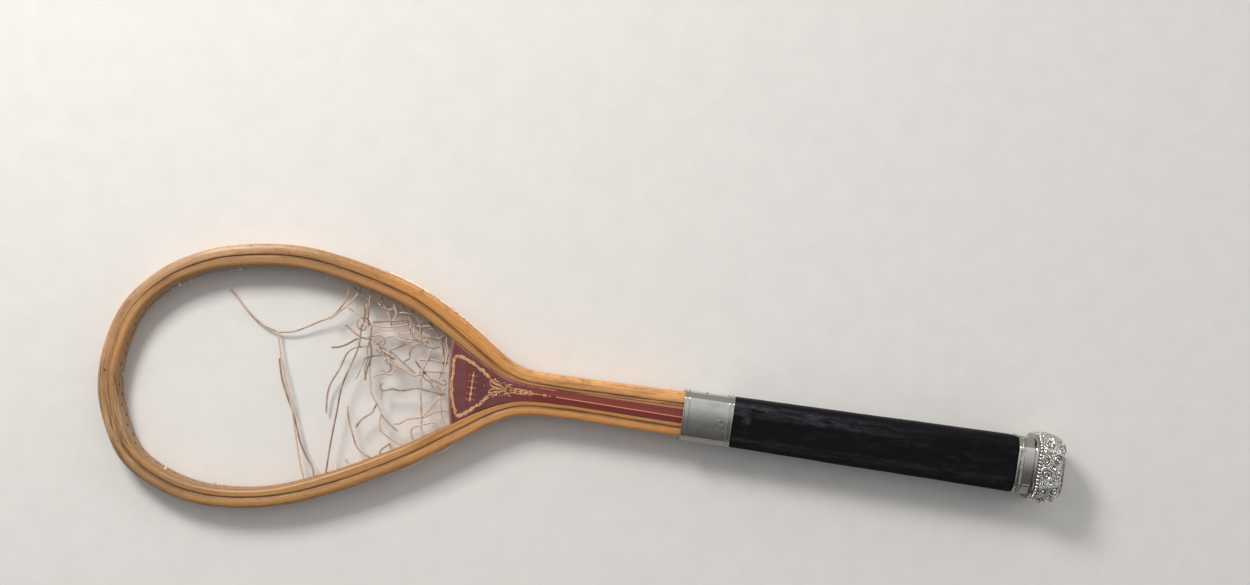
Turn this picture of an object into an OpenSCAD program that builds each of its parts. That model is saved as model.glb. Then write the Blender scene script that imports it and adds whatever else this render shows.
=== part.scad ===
// Real tennis racket: a lopsided bow of bent ash round the remains of its gut, a dark wedge in
// the throat, silver mounts and a velvet grip. It lies flat with its string plane level.
// Working frame, millimetres: x is 0 at the butt end and negative towards the head, y runs up
// the face, and z is 0 in the string plane. The finished part is moved so that its origin lies
// on the surface it rests on, under the middle of its box.

/* [Bow] */
// Depth of the bow, square to the string plane
bow_depth = 20; // [16:1:24]
// Width of the bow round the crown
crown_w = 14; // [12:0.5:16]
// Width of the bow on the upper shoulder
shoulder_w = 16; // [14:0.5:17]
// Width of each limb where it runs down the shaft
limb_w = 10; // [9.6:0.1:11]
// Height over both limbs at the waist, the narrowest part of the shaft
waist_h = 29.8; // [28:0.2:31]
// Height over both limbs inside the handle
neck_h = 31.6; // [30:0.2:33]
// Length of bare shaft between the upper collar and the start of the flare
shaft_len = 78.5; // [50:0.5:110]
// Distance of the scribed groove from the outer edge of the bow
groove_in = 7.6; // [5:0.1:7.8]
// Width of the scribed groove
groove_w = 1.6; // [0.8:0.2:1.6]
// Depth of the scribed groove
groove_d = 0.8; // [0.4:0.1:1.4]
// Size of the rounding on the outer edges of the bow
outer_round = 2.5; // [1:0.5:4]
// Size of the bevel on the inner edges of the bow
inner_bevel = 1; // [0.4:0.1:1]

/* [Stringing] */
// Diameter of the gut
gut_d = 1.3; // [1.1:0.1:1.5]
// Diameter of a string hole
hole_d = 2.2; // [1.7:0.1:3]
// Spacing of the string holes along the outer edge
hole_pitch = 8.6; // [8:0.1:11]
// Distance along the bow from the start of the flare to the first hole
first_hole = 94.4; // [92:0.1:100]
// Distance along the bow from the last hole to the end of the flare
last_hole = 86; // [84:1:100]
// How far the holes are staggered above and below the string plane
hole_stagger = 2.2; // [1.5:0.1:3]

/* [Throat wedge] */
// Distance from the start of the flare to the front edge of the wedge
wedge_reach = 90.3; // [80:0.1:94]
// How much nearer the handle the front edge is at its lower corner
wedge_slant = 7.3; // [0:0.1:10]
// Distance from the start of the flare to the joint between wedge and filler strip
tail_joint = 12; // [6:1:30]
// How far the wedge and the filler strip lie below the faces of the bow
face_drop = 0.3; // [0.1:0.1:1]
// Glue line between two pieces of wood
glue = 0.04; // [0.02:0.01:0.08]

/* [Handle] */
// Thickness of the side slips at the upper collar
slip_front_t = 0.5; // [0.5:0.1:1.5]
// Thickness of the side slips at the butt
slip_butt_t = 3.1; // [2:0.1:5]
// Thickness of the cheeks at the upper collar
cheek_front_t = 4; // [4:0.1:6]
// Thickness of the cheeks at the butt
cheek_butt_t = 6.4; // [6.4:0.1:8]
// Bevel of the handle's corners at the upper collar
bevel_front = 3.6; // [2:0.1:3.6]
// Bevel of the handle's corners at the butt
bevel_butt = 6; // [3:0.1:6]
// Length of the velvet grip
grip_len = 202; // [150:1:230]
// Thickness of the velvet
velvet_t = 1.1; // [0.8:0.1:1.4]

/* [Silver mounts] */
// Thickness of the silver sheet
sheet = 0.7; // [0.5:0.05:0.9]
// Length of the upper collar
collar_len = 35.5; // [28:0.5:42]
// Width of a wire soldered round a collar
wire_w = 1.3; // [1:0.1:1.8]
// Height of a wire above the sheet
wire_h = 0.8; // [0.5:0.1:1.2]
// Distance between the two wires of a pair
wire_gap = 1.5; // [1:0.1:3]
// Diameter of a collar pin's shank
pin_d = 1.2; // [1:0.1:1.6]
// Length of a collar pin's shank
pin_len = 6; // [4:0.5:8]
// Diameter of a collar pin's head
pin_head_d = 2.4; // [2:0.1:3]
// Distance of the pins from the front end of the upper collar
pin_in = 16; // [10:0.5:20]
// Length of the bead round the front of the lower collar
bead_len = 2.2; // [1.6:0.1:3]
// Length of the milled band
milled_len = 2.6; // [1.8:0.1:3.6]
// Length of the plain band of the lower collar
plain_len = 7; // [4:0.5:10]

/* [Butt cap] */
// Length of the butt cap with its flange
cap_len = 22; // [18:0.5:28]
// How far the cap swells beyond the handle
cap_bulge = 5.1; // [3:0.1:6]
// Length of the flange at the front of the cap
flange_len = 1.5; // [1:0.1:2]
// How far the flange stands beyond the handle
flange_out = 3.9; // [3:0.1:4.5]
// Thickness of the butt plate
plate_t = 1.2; // [0.8:0.1:2]

/* [Hidden] */

// Clearance between silver and what it sits on
seat = 0.05;
// Clearance of a pin in its hole
pin_clear = 0.04;
// Corners of sheet and wood are cut back by this much
crisp = 0.3;
// Corners of the velvet are cut back by this much
soft = 2;
// How far the wood stops short of the front end of the upper collar
mouth = 0.6;
// How far the strip inside the groove lies below the strip outside it
inner_drop = 0.05;
// Curve steps between two bends of the bow, and steps along each limb inside the handle
steps = 5;
neck_steps = 5;
// Sides of a gut string, and the exact round pieces' segments
gut_sides = 8;
fine = 48;

// Places along the handle
cap_front = -cap_len;
wood_end = cap_front + flange_len;
band_len = bead_len + milled_len + plain_len;
band_front = cap_front - band_len;
grip_front = band_front - grip_len;
collar_front = grip_front - collar_len;
flare_x = collar_front - shaft_len;
pin_x = collar_front + pin_in;
half_depth = bow_depth / 2;

// Bends of the bow on its outer edge, each with the width of the bow there, from the upper limb
// round the head to the lower limb. The head is drawn with its flare starting at drawn_flare,
// and it moves with the flare.
drawn_flare = -350;
bends = [
    [-350, waist_h / 2, limb_w],
    [-375, waist_h / 2 + 0.1, limb_w],
    [-388, 16.6, limb_w + 0.8],
    [-400, 21.5, limb_w + 2.4],
    [-420, 35, shoulder_w - 1.2],
    [-440, 47.5, shoulder_w - 0.4],
    [-470, 62, shoulder_w],
    [-510, 73, shoulder_w],
    [-553, 79, shoulder_w],
    [-592, 75.3, shoulder_w],
    [-626, 65, crown_w + 1],
    [-655, 46.2, crown_w],
    [-677, 17.5, crown_w],
    [-685.5, -22, crown_w],
    [-680.5, -55, crown_w],
    [-662, -88, crown_w],
    [-632, -106.3, crown_w],
    [-595, -112.8, crown_w],
    [-550, -106.8, crown_w],
    [-505, -89.5, crown_w + 1],
    [-462, -66, crown_w + 0.6],
    [-430, -44.5, crown_w - 0.6],
    [-410, -30, limb_w + 2],
    [-395, -21.3, limb_w + 1],
    [-380, -16.6, limb_w + 0.2],
    [-350, -waist_h / 2, limb_w]
];
last_bend = len(bends) - 1;

// Smooth curve through the bends
function bend(i) =
    i < 0 ? 2 * bends[0] - bends[1] :
    i > last_bend ? 2 * bends[last_bend] - bends[last_bend - 1] :
    bends[i];
function smooth(a, b, c, d, t) =
    (2 * b + (c - a) * t + (2 * a - 5 * b + 4 * c - d) * t * t
    + (3 * b - a - 3 * c + d) * t * t * t) / 2;
head_curve = [
    for (i = [0 : last_bend - 1], k = [0 : steps - 1])
        smooth(bend(i - 1), bend(i), bend(i + 1), bend(i + 2), k / steps),
    bends[last_bend]
];
head_shift = flare_x - drawn_flare;
neck_x = [for (k = [0 : neck_steps]) wood_end + (collar_front - wood_end) * k / neck_steps];
stations = [
    for (x = neck_x) [x, neck_h / 2, limb_w],
    for (p = head_curve) [p.x + head_shift, p.y, p.z],
    for (k = [neck_steps : -1 : 0]) [neck_x[k], -neck_h / 2, limb_w]
];
last_station = len(stations) - 1;

// Inward normal of the bow's outer edge, and a point at depth u from that edge and height z
function flat(v) = [v.x, v.y];
function unit(v) = v / norm(v);
function inward(i) =
    let (t = unit(flat(stations[min(i + 1, last_station)] - stations[max(i - 1, 0)])))
    [-t.y, t.x];
normals = [for (i = [0 : last_station]) inward(i)];
function bow_point(i, u, z) = [
    stations[i].x + normals[i].x * u,
    stations[i].y + normals[i].y * u,
    z
];

// Distance along the outer edge, and the place at a given distance: x, y, width and normal
function step_len(i) = i >= last_station ? 0 : norm(flat(stations[i + 1] - stations[i]));
lengths = [for (i = 0, s = 0; i <= last_station; s = s + step_len(i), i = i + 1) [s, i]];
flare_start = lengths[neck_steps + 1][0];
flare_end = lengths[last_station - neck_steps - 1][0];
function place(s) =
    let (
        f = lookup(s, lengths),
        i = min(floor(f), last_station - 1),
        t = f - i,
        p = stations[i] * (1 - t) + stations[i + 1] * t,
        n = unit(normals[i] * (1 - t) + normals[i + 1] * t)
    )
    [p.x, p.y, p.z, n.x, n.y];
function at(q, u, z) = [q[0] + q[3] * u, q[1] + q[4] * u, z];

// String holes along the bow, staggered about the string plane
hole_s = [for (s = [flare_start + first_hole : hole_pitch : flare_end - last_hole]) s];
holes = [for (s = hole_s) place(s)];
function stagger(i) = (i % 2 == 0 ? 1 : -1) * hole_stagger;
function miss(i, p) = norm(flat(at(holes[i], holes[i][2], 0)) - p);
function nearest(p) =
    let (best = min([for (i = [0 : len(holes) - 1]) miss(i, p)]))
    [for (i = [0 : len(holes) - 1]) if (miss(i, p) <= best) i][0];
// A string's first points: inside the hole nearest to p, and in its mouth
hole_bite = 5;
function from_hole(x, y) =
    let (i = nearest([x + head_shift, y]), q = holes[i])
    [at(q, q[2] - hole_bite, stagger(i)), at(q, q[2] + gut_d / 4, stagger(i))];
function placed(points) = [for (p = points) p + [head_shift, 0, 0]];
function to_hole(x, y) = let (h = from_hole(x, y)) [h[1], h[0]];

// Section of the bow at width w, anticlockwise seen along the bow, as depth and height
function bow_section(w) =
    let (
        h = half_depth,
        i = half_depth - inner_drop,
        g = groove_in,
        k = groove_w / 2,
        e = outer_round,
        v = inner_bevel
    )
    [
        [e, -h], [g - k, -h], [g, groove_d - h], [g + k, -i], [w - v, -i], [w, v - i],
        [w, i - v], [w - v, i], [g + k, i], [g, h - groove_d], [g - k, h], [e, h],
        [e * 0.3, h - e * 0.3], [0, h - e], [0, e - h], [e * 0.3, e * 0.3 - h]
    ];

// Half height, half depth and bevel of the handle at x
function along(x) = (x - collar_front) / (band_front - collar_front);
function blend(a, b, x) = a + (b - a) * along(x);
function handle_y(x) = neck_h / 2 + blend(slip_front_t, slip_butt_t, x);
function handle_z(x) = half_depth + blend(cheek_front_t, cheek_butt_t, x);
function bevel(x) = blend(bevel_front, bevel_butt, x);

// Ring round the handle at x, standing r proud of the wood, with its corners cut back by f
function octagon(x, r) =
    let (a = handle_y(x) + r, b = handle_z(x) + r, c = bevel(x) + r * (2 - sqrt(2)))
    [
        [a, b - c], [a - c, b], [c - a, b], [-a, b - c],
        [-a, c - b], [c - a, -b], [a - c, -b], [a, c - b]
    ];
function cut_corner(o, i, f) =
    let (p = o[i], a = o[(i + 7) % 8], b = o[(i + 1) % 8])
    [p + unit(a - p) * f, p + unit(b - p) * f];
function ring(x, r, f) =
    let (o = octagon(x, r))
    [for (i = [0 : 7]) each [for (q = cut_corner(o, i, f)) [x, q.x, q.y]]];

// Solid skinned over closed loops of points, with a cap on its first and last loop
module skin(loops) {
    n = len(loops[0]);
    m = len(loops);
    polyhedron(
        points = [for (l = loops) each l],
        faces = concat(
            [for (j = [0 : m - 2], k = [0 : n - 1])
                [j * n + k, (j + 1) * n + k, (j + 1) * n + (k + 1) % n]],
            [for (j = [0 : m - 2], k = [0 : n - 1])
                [j * n + k, (j + 1) * n + (k + 1) % n, j * n + (k + 1) % n]],
            [[for (k = [0 : n - 1]) k]],
            [[for (k = [n - 1 : -1 : 0]) (m - 1) * n + k]]
        )
    );
}

// Ring-shaped solid whose last loop joins its first
module band(loops) {
    n = len(loops[0]);
    m = len(loops);
    polyhedron(
        points = [for (l = loops) each l],
        faces = concat(
            [for (j = [0 : m - 1], k = [0 : n - 1])
                [j * n + k, ((j + 1) % m) * n + k, ((j + 1) % m) * n + (k + 1) % n]],
            [for (j = [0 : m - 1], k = [0 : n - 1])
                [j * n + k, ((j + 1) % m) * n + (k + 1) % n, j * n + (k + 1) % n]]
        )
    );
}

// Band round the handle with a profile of [x, r] points, or [x, r, f] where its corners are
// cut back by f
module handle_band(profile) {
    band([for (p = profile) ring(p[0], p[1], len(p) > 2 ? p[2] : crisp)]);
}

// Rounded band from x0 to x1, on what stands r proud of the wood, h high
module bead(x0, x1, r, h) {
    w = x1 - x0;
    handle_band([
        [x0, r], [x0, r + h * 0.5], [x0 + w * 0.25, r + h * 0.9], [x0 + w * 0.5, r + h],
        [x1 - w * 0.25, r + h * 0.9], [x1, r + h * 0.5], [x1, r]
    ]);
}

// Tube of gut swept along its route
function heading(p, i) = unit(p[min(i + 1, len(p) - 1)] - p[max(i - 1, 0)]);
function gut_ring(p, t) =
    let (side = unit(cross([0, 0, 1], t)), up = cross(t, side))
    [for (k = [0 : gut_sides - 1])
        p + (side * cos(360 * k / gut_sides) + up * sin(360 * k / gut_sides)) * gut_d / 2];
module gut(route) {
    color([0.8, 0.66, 0.52])
        skin([for (i = [0 : len(route) - 1]) gut_ring(route[i], heading(route, i))]);
}

// Everything is drawn about the butt end and then stood on its resting surface
cap_depth = handle_z(cap_front + cap_len * 0.45) + cap_bulge;
head_reach = max([for (p = stations) -p.x]);
head_top = max([for (p = stations) p.y]);
head_bottom = min([for (p = stations) p.y]);
to_origin = [head_reach / 2, -(head_top + head_bottom) / 2, cap_depth];
module stand() {
    translate(to_origin)
        children();
}

// Bow

module string_hole(i) {
    q = holes[i];
    over = 1;
    translate(at(q, -over, stagger(i)))
        rotate([0, 0, atan2(q[4], q[3])])
        rotate([0, 90, 0])
        cylinder(d = hole_d, h = q[2] + 2 * over, $fn = 16);
}

// Blank for the hole of one collar pin on the side of sign s
module pin_hole(s) {
    side = s * (handle_y(pin_x) + sheet + 1);
    translate([pin_x, side, 0])
        rotate([s * 90, 0, 0])
        cylinder(d = pin_d + 2 * pin_clear, h = pin_len + 1 + pin_clear, $fn = fine);
}

module ash_bow() {
    color([0.78, 0.6, 0.36])
        stand()
        difference() {
            skin([for (i = [0 : last_station])
                [for (q = bow_section(stations[i][2])) bow_point(i, q.x, q.y)]]);
            for (i = [0 : len(holes) - 1])
                string_hole(i);
            pin_hole(1);
            pin_hole(-1);
        }
}

// Wedge and filler strip, cut from the space between the limbs

module between_limbs(depth) {
    translate([0, 0, -depth / 2])
        linear_extrude(depth)
        polygon([for (i = [0 : last_station]) flat(bow_point(i, stations[i][2] + glue, 0))]);
}

wedge_top_y = 28;
wedge_bottom_y = -32;
wedge_room = 70;
function front_edge(y) =
    let (t = max(0, (wedge_top_y - y) / (wedge_top_y - wedge_bottom_y)))
    flare_x - wedge_reach + wedge_slant * t * t;
joint_x = flare_x - tail_joint;

module throat_wedge() {
    depth = bow_depth - 2 * face_drop;
    color([0.38, 0.18, 0.2])
        stand()
        intersection() {
            between_limbs(depth);
            translate([0, 0, -bow_depth])
                linear_extrude(2 * bow_depth)
                polygon([
                    for (y = [wedge_room : -7 : -wedge_room]) [front_edge(y), y],
                    [joint_x, -wedge_room],
                    [joint_x, wedge_room]
                ]);
        }
}

module shaft_filler() {
    depth = bow_depth - 2 * face_drop;
    color([0.42, 0.16, 0.12])
        stand()
        intersection() {
            between_limbs(depth);
            translate([joint_x + glue, -neck_h, -bow_depth])
                cube([wood_end - joint_x - glue, 2 * neck_h, 2 * bow_depth]);
        }
}

// Handle, built up on the shaft to an octagon that grows towards the butt

function cheek_loop(x, s) =
    let (
        a = handle_y(x),
        z = half_depth + glue,
        upper = [for (q = ring(x, 0, crisp)) if (q.z > z) [q.y, q.z]]
    )
    [for (q = concat([[a, z]], upper, [[-a, z]])) [x, s * q.x, s * q.y]];
function slip_loop(x, s) =
    let (y0 = neck_h / 2 + glue, y1 = handle_y(x), h = half_depth)
    [for (q = [[y0, -h], [y1, -h], [y1, h], [y0, h]]) [x, s * q.x, s * q.y]];

module cheek(s) {
    color([0.66, 0.47, 0.28])
        stand()
        skin([cheek_loop(collar_front + mouth, s), cheek_loop(wood_end, s)]);
}

module slip(s) {
    color([0.62, 0.44, 0.26])
        stand()
        difference() {
            skin([slip_loop(collar_front + mouth, s), slip_loop(wood_end, s)]);
            pin_hole(s);
        }
}

module handle_cheek_front() {
    cheek(1);
}

module handle_cheek_back() {
    cheek(-1);
}

module handle_slip_upper() {
    slip(1);
}

module handle_slip_lower() {
    slip(-1);
}

module velvet_sleeve() {
    tuck = 0.1;
    x0 = grip_front + tuck;
    x1 = band_front - tuck;
    color([0.1, 0.1, 0.11])
        stand()
        handle_band([
            [x0, seat], [x0, velvet_t * 0.55, soft], [x0 + 0.8, velvet_t * 0.9, soft],
            [x0 + 2.4, velvet_t, soft], [x1 - 2.4, velvet_t, soft],
            [x1 - 0.8, velvet_t * 0.9, soft], [x1, velvet_t * 0.55, soft], [x1, seat]
        ]);
}

// Upper collar

module upper_collar_band() {
    color([0.75, 0.75, 0.72])
        stand()
        difference() {
            handle_band([
                [collar_front, seat], [collar_front, seat + sheet],
                [grip_front, seat + sheet], [grip_front, seat]
            ]);
            pin_hole(1);
            pin_hole(-1);
        }
}

module wire_pair(x0) {
    r = 2 * seat + sheet;
    color([0.82, 0.82, 0.8])
        stand() {
            bead(x0, x0 + wire_w, r, wire_h);
            bead(x0 + wire_w + wire_gap, x0 + 2 * wire_w + wire_gap, r, wire_h);
        }
}

module upper_collar_front_wires() {
    wire_pair(collar_front);
}

module upper_collar_rear_wires() {
    wire_pair(grip_front - 2 * wire_w - wire_gap);
}

module collar_pin(s) {
    sink = pin_head_d * 0.2;
    translate([pin_x, s * (handle_y(pin_x) + sheet + 2 * seat), 0])
        rotate([-s * 90, 0, 0]) {
            translate([0, 0, -pin_len])
                cylinder(d = pin_d, h = pin_len, $fn = fine);
            intersection() {
                translate([0, 0, -sink])
                    sphere(d = pin_head_d + sink / 2, $fn = fine);
                cylinder(d = pin_head_d, h = pin_head_d, $fn = fine);
            }
        }
}

module collar_pins() {
    color([0.85, 0.85, 0.82])
        stand() {
            collar_pin(1);
            collar_pin(-1);
        }
}

// Lower collar and butt cap

module lower_collar_bead() {
    color([0.82, 0.82, 0.8])
        stand()
        bead(band_front, band_front + bead_len, seat, sheet + wire_h);
}

module lower_collar_milled_band() {
    x0 = band_front + bead_len + seat;
    color([0.7, 0.7, 0.68])
        stand()
        bead(x0, x0 + milled_len - seat, seat, sheet + wire_h * 0.6);
}

module lower_collar_plain_band() {
    x0 = cap_front - plain_len + seat;
    color([0.78, 0.78, 0.76])
        stand()
        handle_band([
            [x0, seat], [x0, seat + sheet],
            [cap_front - seat, seat + sheet], [cap_front - seat, seat]
        ]);
}

module cap_flange() {
    color([0.82, 0.82, 0.8])
        stand()
        bead(cap_front, wood_end, seat, flange_out);
}

// Profile of the cap: share of its length, and share of the bulge
cap_profile = [[0, 0.66], [0.12, 0.88], [0.3, 1], [0.55, 0.98], [0.76, 0.8], [0.9, 0.45], [1, 0.06]];
cap_x0 = wood_end + seat;
cap_x1 = -plate_t;
function cap_x(t) = cap_x0 + (cap_x1 - cap_x0) * t;

module butt_cap() {
    n = len(cap_profile);
    color([0.72, 0.72, 0.7])
        stand()
        handle_band([
            for (q = cap_profile) [cap_x(q[0]), q[1] * cap_bulge],
            for (i = [n - 1 : -1 : 0]) [cap_x(cap_profile[i][0]), cap_profile[i][1] * cap_bulge - sheet]
        ]);
}

module butt_block() {
    color([0.5, 0.36, 0.22])
        stand()
        skin([for (q = cap_profile)
            ring(cap_x(q[0]) - (q[0] < 1 ? 0 : seat), q[1] * cap_bulge - sheet - seat, crisp)]);
}

module butt_plate() {
    edge = cap_profile[len(cap_profile) - 1][1] * cap_bulge - seat;
    color([0.76, 0.76, 0.74])
        stand()
        translate([cap_x1 + seat, 0, 0])
        rotate([90, 0, 90])
        linear_extrude(plate_t - seat)
        polygon([for (q = ring(0, edge, crisp)) [q.y, q.z]]);
}

// Gut. Each route is a list of hand-chosen points about the drawn head.

long_strand = concat(from_hole(-519, 58), placed([
    [-519, 53, 0.8], [-520.3, 47, -0.4], [-522.6, 41.6, -1.6], [-526, 36, -2.8], [-531, 31.4, -4],
    [-537, 28, -5], [-545, 23.2, -6], [-553, 18.8, -7], [-560, 16.6, -7.6], [-567, 16, -8],
    [-575, 18, -8.4], [-583, 22, -8.7], [-590, 27.4, -8.9], [-597, 34, -9.1], [-602, 38.8, -9.2],
    [-606, 42, -9.2]
]));
short_strand = concat(from_hole(-511.5, 56), placed([
    [-512.4, 52.6, -1.8], [-514.2, 49, -0.9], [-516.4, 45.4, 0], [-519, 41.8, 0.6],
    [-522, 38.6, 0.8], [-525.4, 35, 0.4], [-528, 32.4, 0], [-529.8, 30.6, -0.4]
]));
hanging_strand = concat(placed([
    [-566.4, 16.6, -6.6], [-565, 11, -6.2], [-563, 4, -5.8], [-560, -5, -5.2], [-556.4, -14, -4.7],
    [-552.6, -24, -4.2], [-549, -34, -3.7], [-545.4, -45, -3.2], [-542, -56, -2.8],
    [-539, -66, -2.5], [-536, -75, -2.3], [-533.6, -81, -2.2]
]), to_hole(-532, -85));
hanging_whisker = concat(placed([
    [-563, -2.4, -8], [-561, -10, -7.6], [-558.4, -18, -7.2], [-554.6, -26, -6.6],
    [-550.6, -33.4, -6], [-546.6, -41, -5.4], [-542.6, -50, -4.8], [-538.6, -60, -4.2],
    [-533, -68.6, -3], [-528, -74.4, -1.2], [-525.4, -78.6, 1.4]
]), to_hole(-524.3, -82));
left_cross = concat(placed([
    [-506, 31.4, 2.4], [-506.4, 27, 2.4], [-506, 21.4, 2.2], [-506.2, 15.6, 2], [-507.2, 10, 1.8],
    [-508.8, 4, 1.6], [-510.8, -2.4, 1.2], [-512.8, -9, 0.8], [-514.2, -15.6, 0.4],
    [-514.9, -23, 0], [-515.2, -32, -0.4], [-515.8, -42, -0.8], [-516.4, -53, -1.2],
    [-516.8, -64, -1.7], [-516.9, -73, -2.1]
]), to_hole(-516.8, -78.5));
left_whisker = placed([
    [-498.4, 15.6, 0], [-503, 14.8, -0.2], [-508, 13.4, -0.6], [-511.6, 11.4, -1.2],
    [-514.4, 8, -2], [-516.2, 3, -2.8], [-517.8, -2, -3.8], [-520, -7.4, -4.6],
    [-522.4, -12.4, -5.4], [-524.1, -17.4, -6.2], [-524.8, -23, -7], [-524.6, -30, -7.8],
    [-524, -37, -8.6]
]);

// Strings that run the length of the head
mains = [
    placed([
        [-519, 28.6, -0.8], [-514.6, 26, -0.6], [-510.6, 23.4, -0.2], [-507, 21.4, 0],
        [-503.6, 20.6, 0], [-499.6, 20.8, 0], [-496.8, 20.1, 0], [-494, 18.8, 0],
        [-490, 16.3, 0], [-485.8, 14.5, 0], [-482, 13, 0], [-478, 10.5, 0], [-474, 7.6, 0],
        [-470, 5.2, 0], [-466.5, 2.8, 0], [-463.4, 0.8, -0.6]
    ]),
    placed([
        [-518.2, 40.6, 0.2], [-514.4, 39, -0.4], [-510.4, 36.8, -0.2], [-507, 34.6, 0],
        [-504, 32.6, 0], [-501.4, 31.1, 0], [-497.6, 30.6, 0], [-492.8, 30.6, 0],
        [-488.2, 30.9, 0], [-484.5, 31.6, 0], [-480, 33, 0], [-475.6, 34.4, 0],
        [-472.6, 35.5, 0.2], [-471.6, 33.6, 0.4], [-470.9, 31.8, 0.6]
    ]),
    placed([
        [-499.6, 32.8, 1.6], [-497.4, 33.2, 1.6], [-492.6, 34.2, 1.6], [-488.4, 35.2, 1.7],
        [-484.6, 36, 2.6], [-480.8, 36.8, 2.6], [-477.6, 37.4, 2.2], [-474.8, 37.8, 1.6]
    ]),
    placed([
        [-526, 10.8, 0.4], [-521.2, 11.7, 0.4], [-516.8, 13.6, 0.4], [-512.4, 16.5, 0.5],
        [-509, 19.1, 0.6], [-506.9, 19.9, 0.6]
    ]),
    placed([
        [-501.6, 22.5, -1.5], [-498.4, 22.9, -1.5], [-495, 24.2, -1.5], [-492, 24.3, -1.5],
        [-489, 23.4, -1.5], [-486, 24.6, -1.5], [-483.4, 24.9, -1.5], [-480.8, 23.7, -1.5],
        [-477.4, 23, -1.5], [-474, 22.7, -1.5], [-470.6, 23, -1.5], [-467, 23.9, -1.5],
        [-463.6, 23.4, -1.4], [-460.4, 24.5, -1.4], [-457.6, 23.8, -1.4], [-455.8, 22.9, -1.4]
    ]),
    placed([
        [-484, 30, -1.6], [-481, 29.1, -1.5], [-477, 28.4, -1.4], [-472.6, 28.5, -1.4],
        [-469, 29.5, -1.4]
    ]),
    placed([
        [-462.6, 28.3, 1.4], [-460, 27.4, 1.4], [-456.6, 27.7, 1.4], [-453, 27.8, 1.4],
        [-450.4, 28.1, 1.4], [-448.6, 29.5, 1.4], [-446.9, 31.2, 1.6]
    ]),
    placed([
        [-460.6, 22.6, -0.2], [-458.6, 21.3, 0], [-456, 20.7, 0.1], [-453.8, 20.7, 0.1],
        [-451.4, 21.8, 0.1], [-448.2, 23.1, 0.1]
    ]),
    placed([
        [-462.8, 11.1, 0], [-459, 11.5, 0], [-455.4, 12, 0], [-452, 12.4, 0], [-448, 12.2, 0],
        [-444.4, 11.8, 0], [-441, 11.7, 0]
    ]),
    placed([
        [-462, 2.2, 0.1], [-459.4, 3, 0.1], [-456, 3.6, 0.1], [-452, 4.1, 0.1],
        [-448, 4.6, 0.1], [-444.4, 4.8, 0.1], [-441, 4.9, 0.1]
    ]),
    placed([
        [-486.2, -9, -0.8], [-487.2, -11, -0.4], [-486.5, -13.4, 0], [-484.5, -14.2, 0],
        [-481.5, -13.4, 0], [-478.2, -12.1, 0], [-475, -12.5, 0], [-471, -12.2, 0],
        [-467, -11, 0], [-463, -9.6, 0], [-459.4, -9.1, 0], [-455, -9.7, 0], [-450, -10, 0],
        [-446, -10.5, 0], [-442.4, -10.6, 0], [-439.6, -10.6, 0]
    ]),
    placed([
        [-486.8, 8.8, 1.4], [-485.6, 6.4, 1.4], [-482.2, 5.3, 1.4], [-477.6, 4.4, 1.4],
        [-473.6, 3.6, 1.4], [-470.2, 2.4, 1.5], [-467.3, 0.4, 1.6], [-463.8, -0.4, 1.6],
        [-460.6, 0.6, 0.4], [-457.6, 2.1, -1.3], [-454.6, 0.4, -1.4], [-452.4, -1.8, -1.4],
        [-450.4, -3.9, -1.4]
    ]),
    placed([
        [-435.6, -21.5, 0.6], [-439.6, -22.1, 0.4], [-444, -23.3, 0], [-447.6, -25.2, 0],
        [-450.6, -27.3, 0], [-453.8, -29.2, 0], [-458, -30.2, 0], [-462, -31.1, 0],
        [-465, -32.2, 0], [-467.4, -34, 0], [-469.2, -35.7, 0], [-471.6, -36.3, 0],
        [-474, -36.4, 0]
    ]),
    placed([
        [-493, -5, 1], [-490, -3.4, 1], [-486, -2, 1], [-482.6, -2.3, 1], [-480, -1.4, 1],
        [-479, 1, 0.8], [-478.6, 3.4, 0.4]
    ]),
    placed([
        [-502, 5.4, 0.2], [-500, 7.1, 0.2], [-496, 8.8, 0.2], [-491.6, 10.2, 0.2], [-487.4, 11, 0.2]
    ])
];

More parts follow.
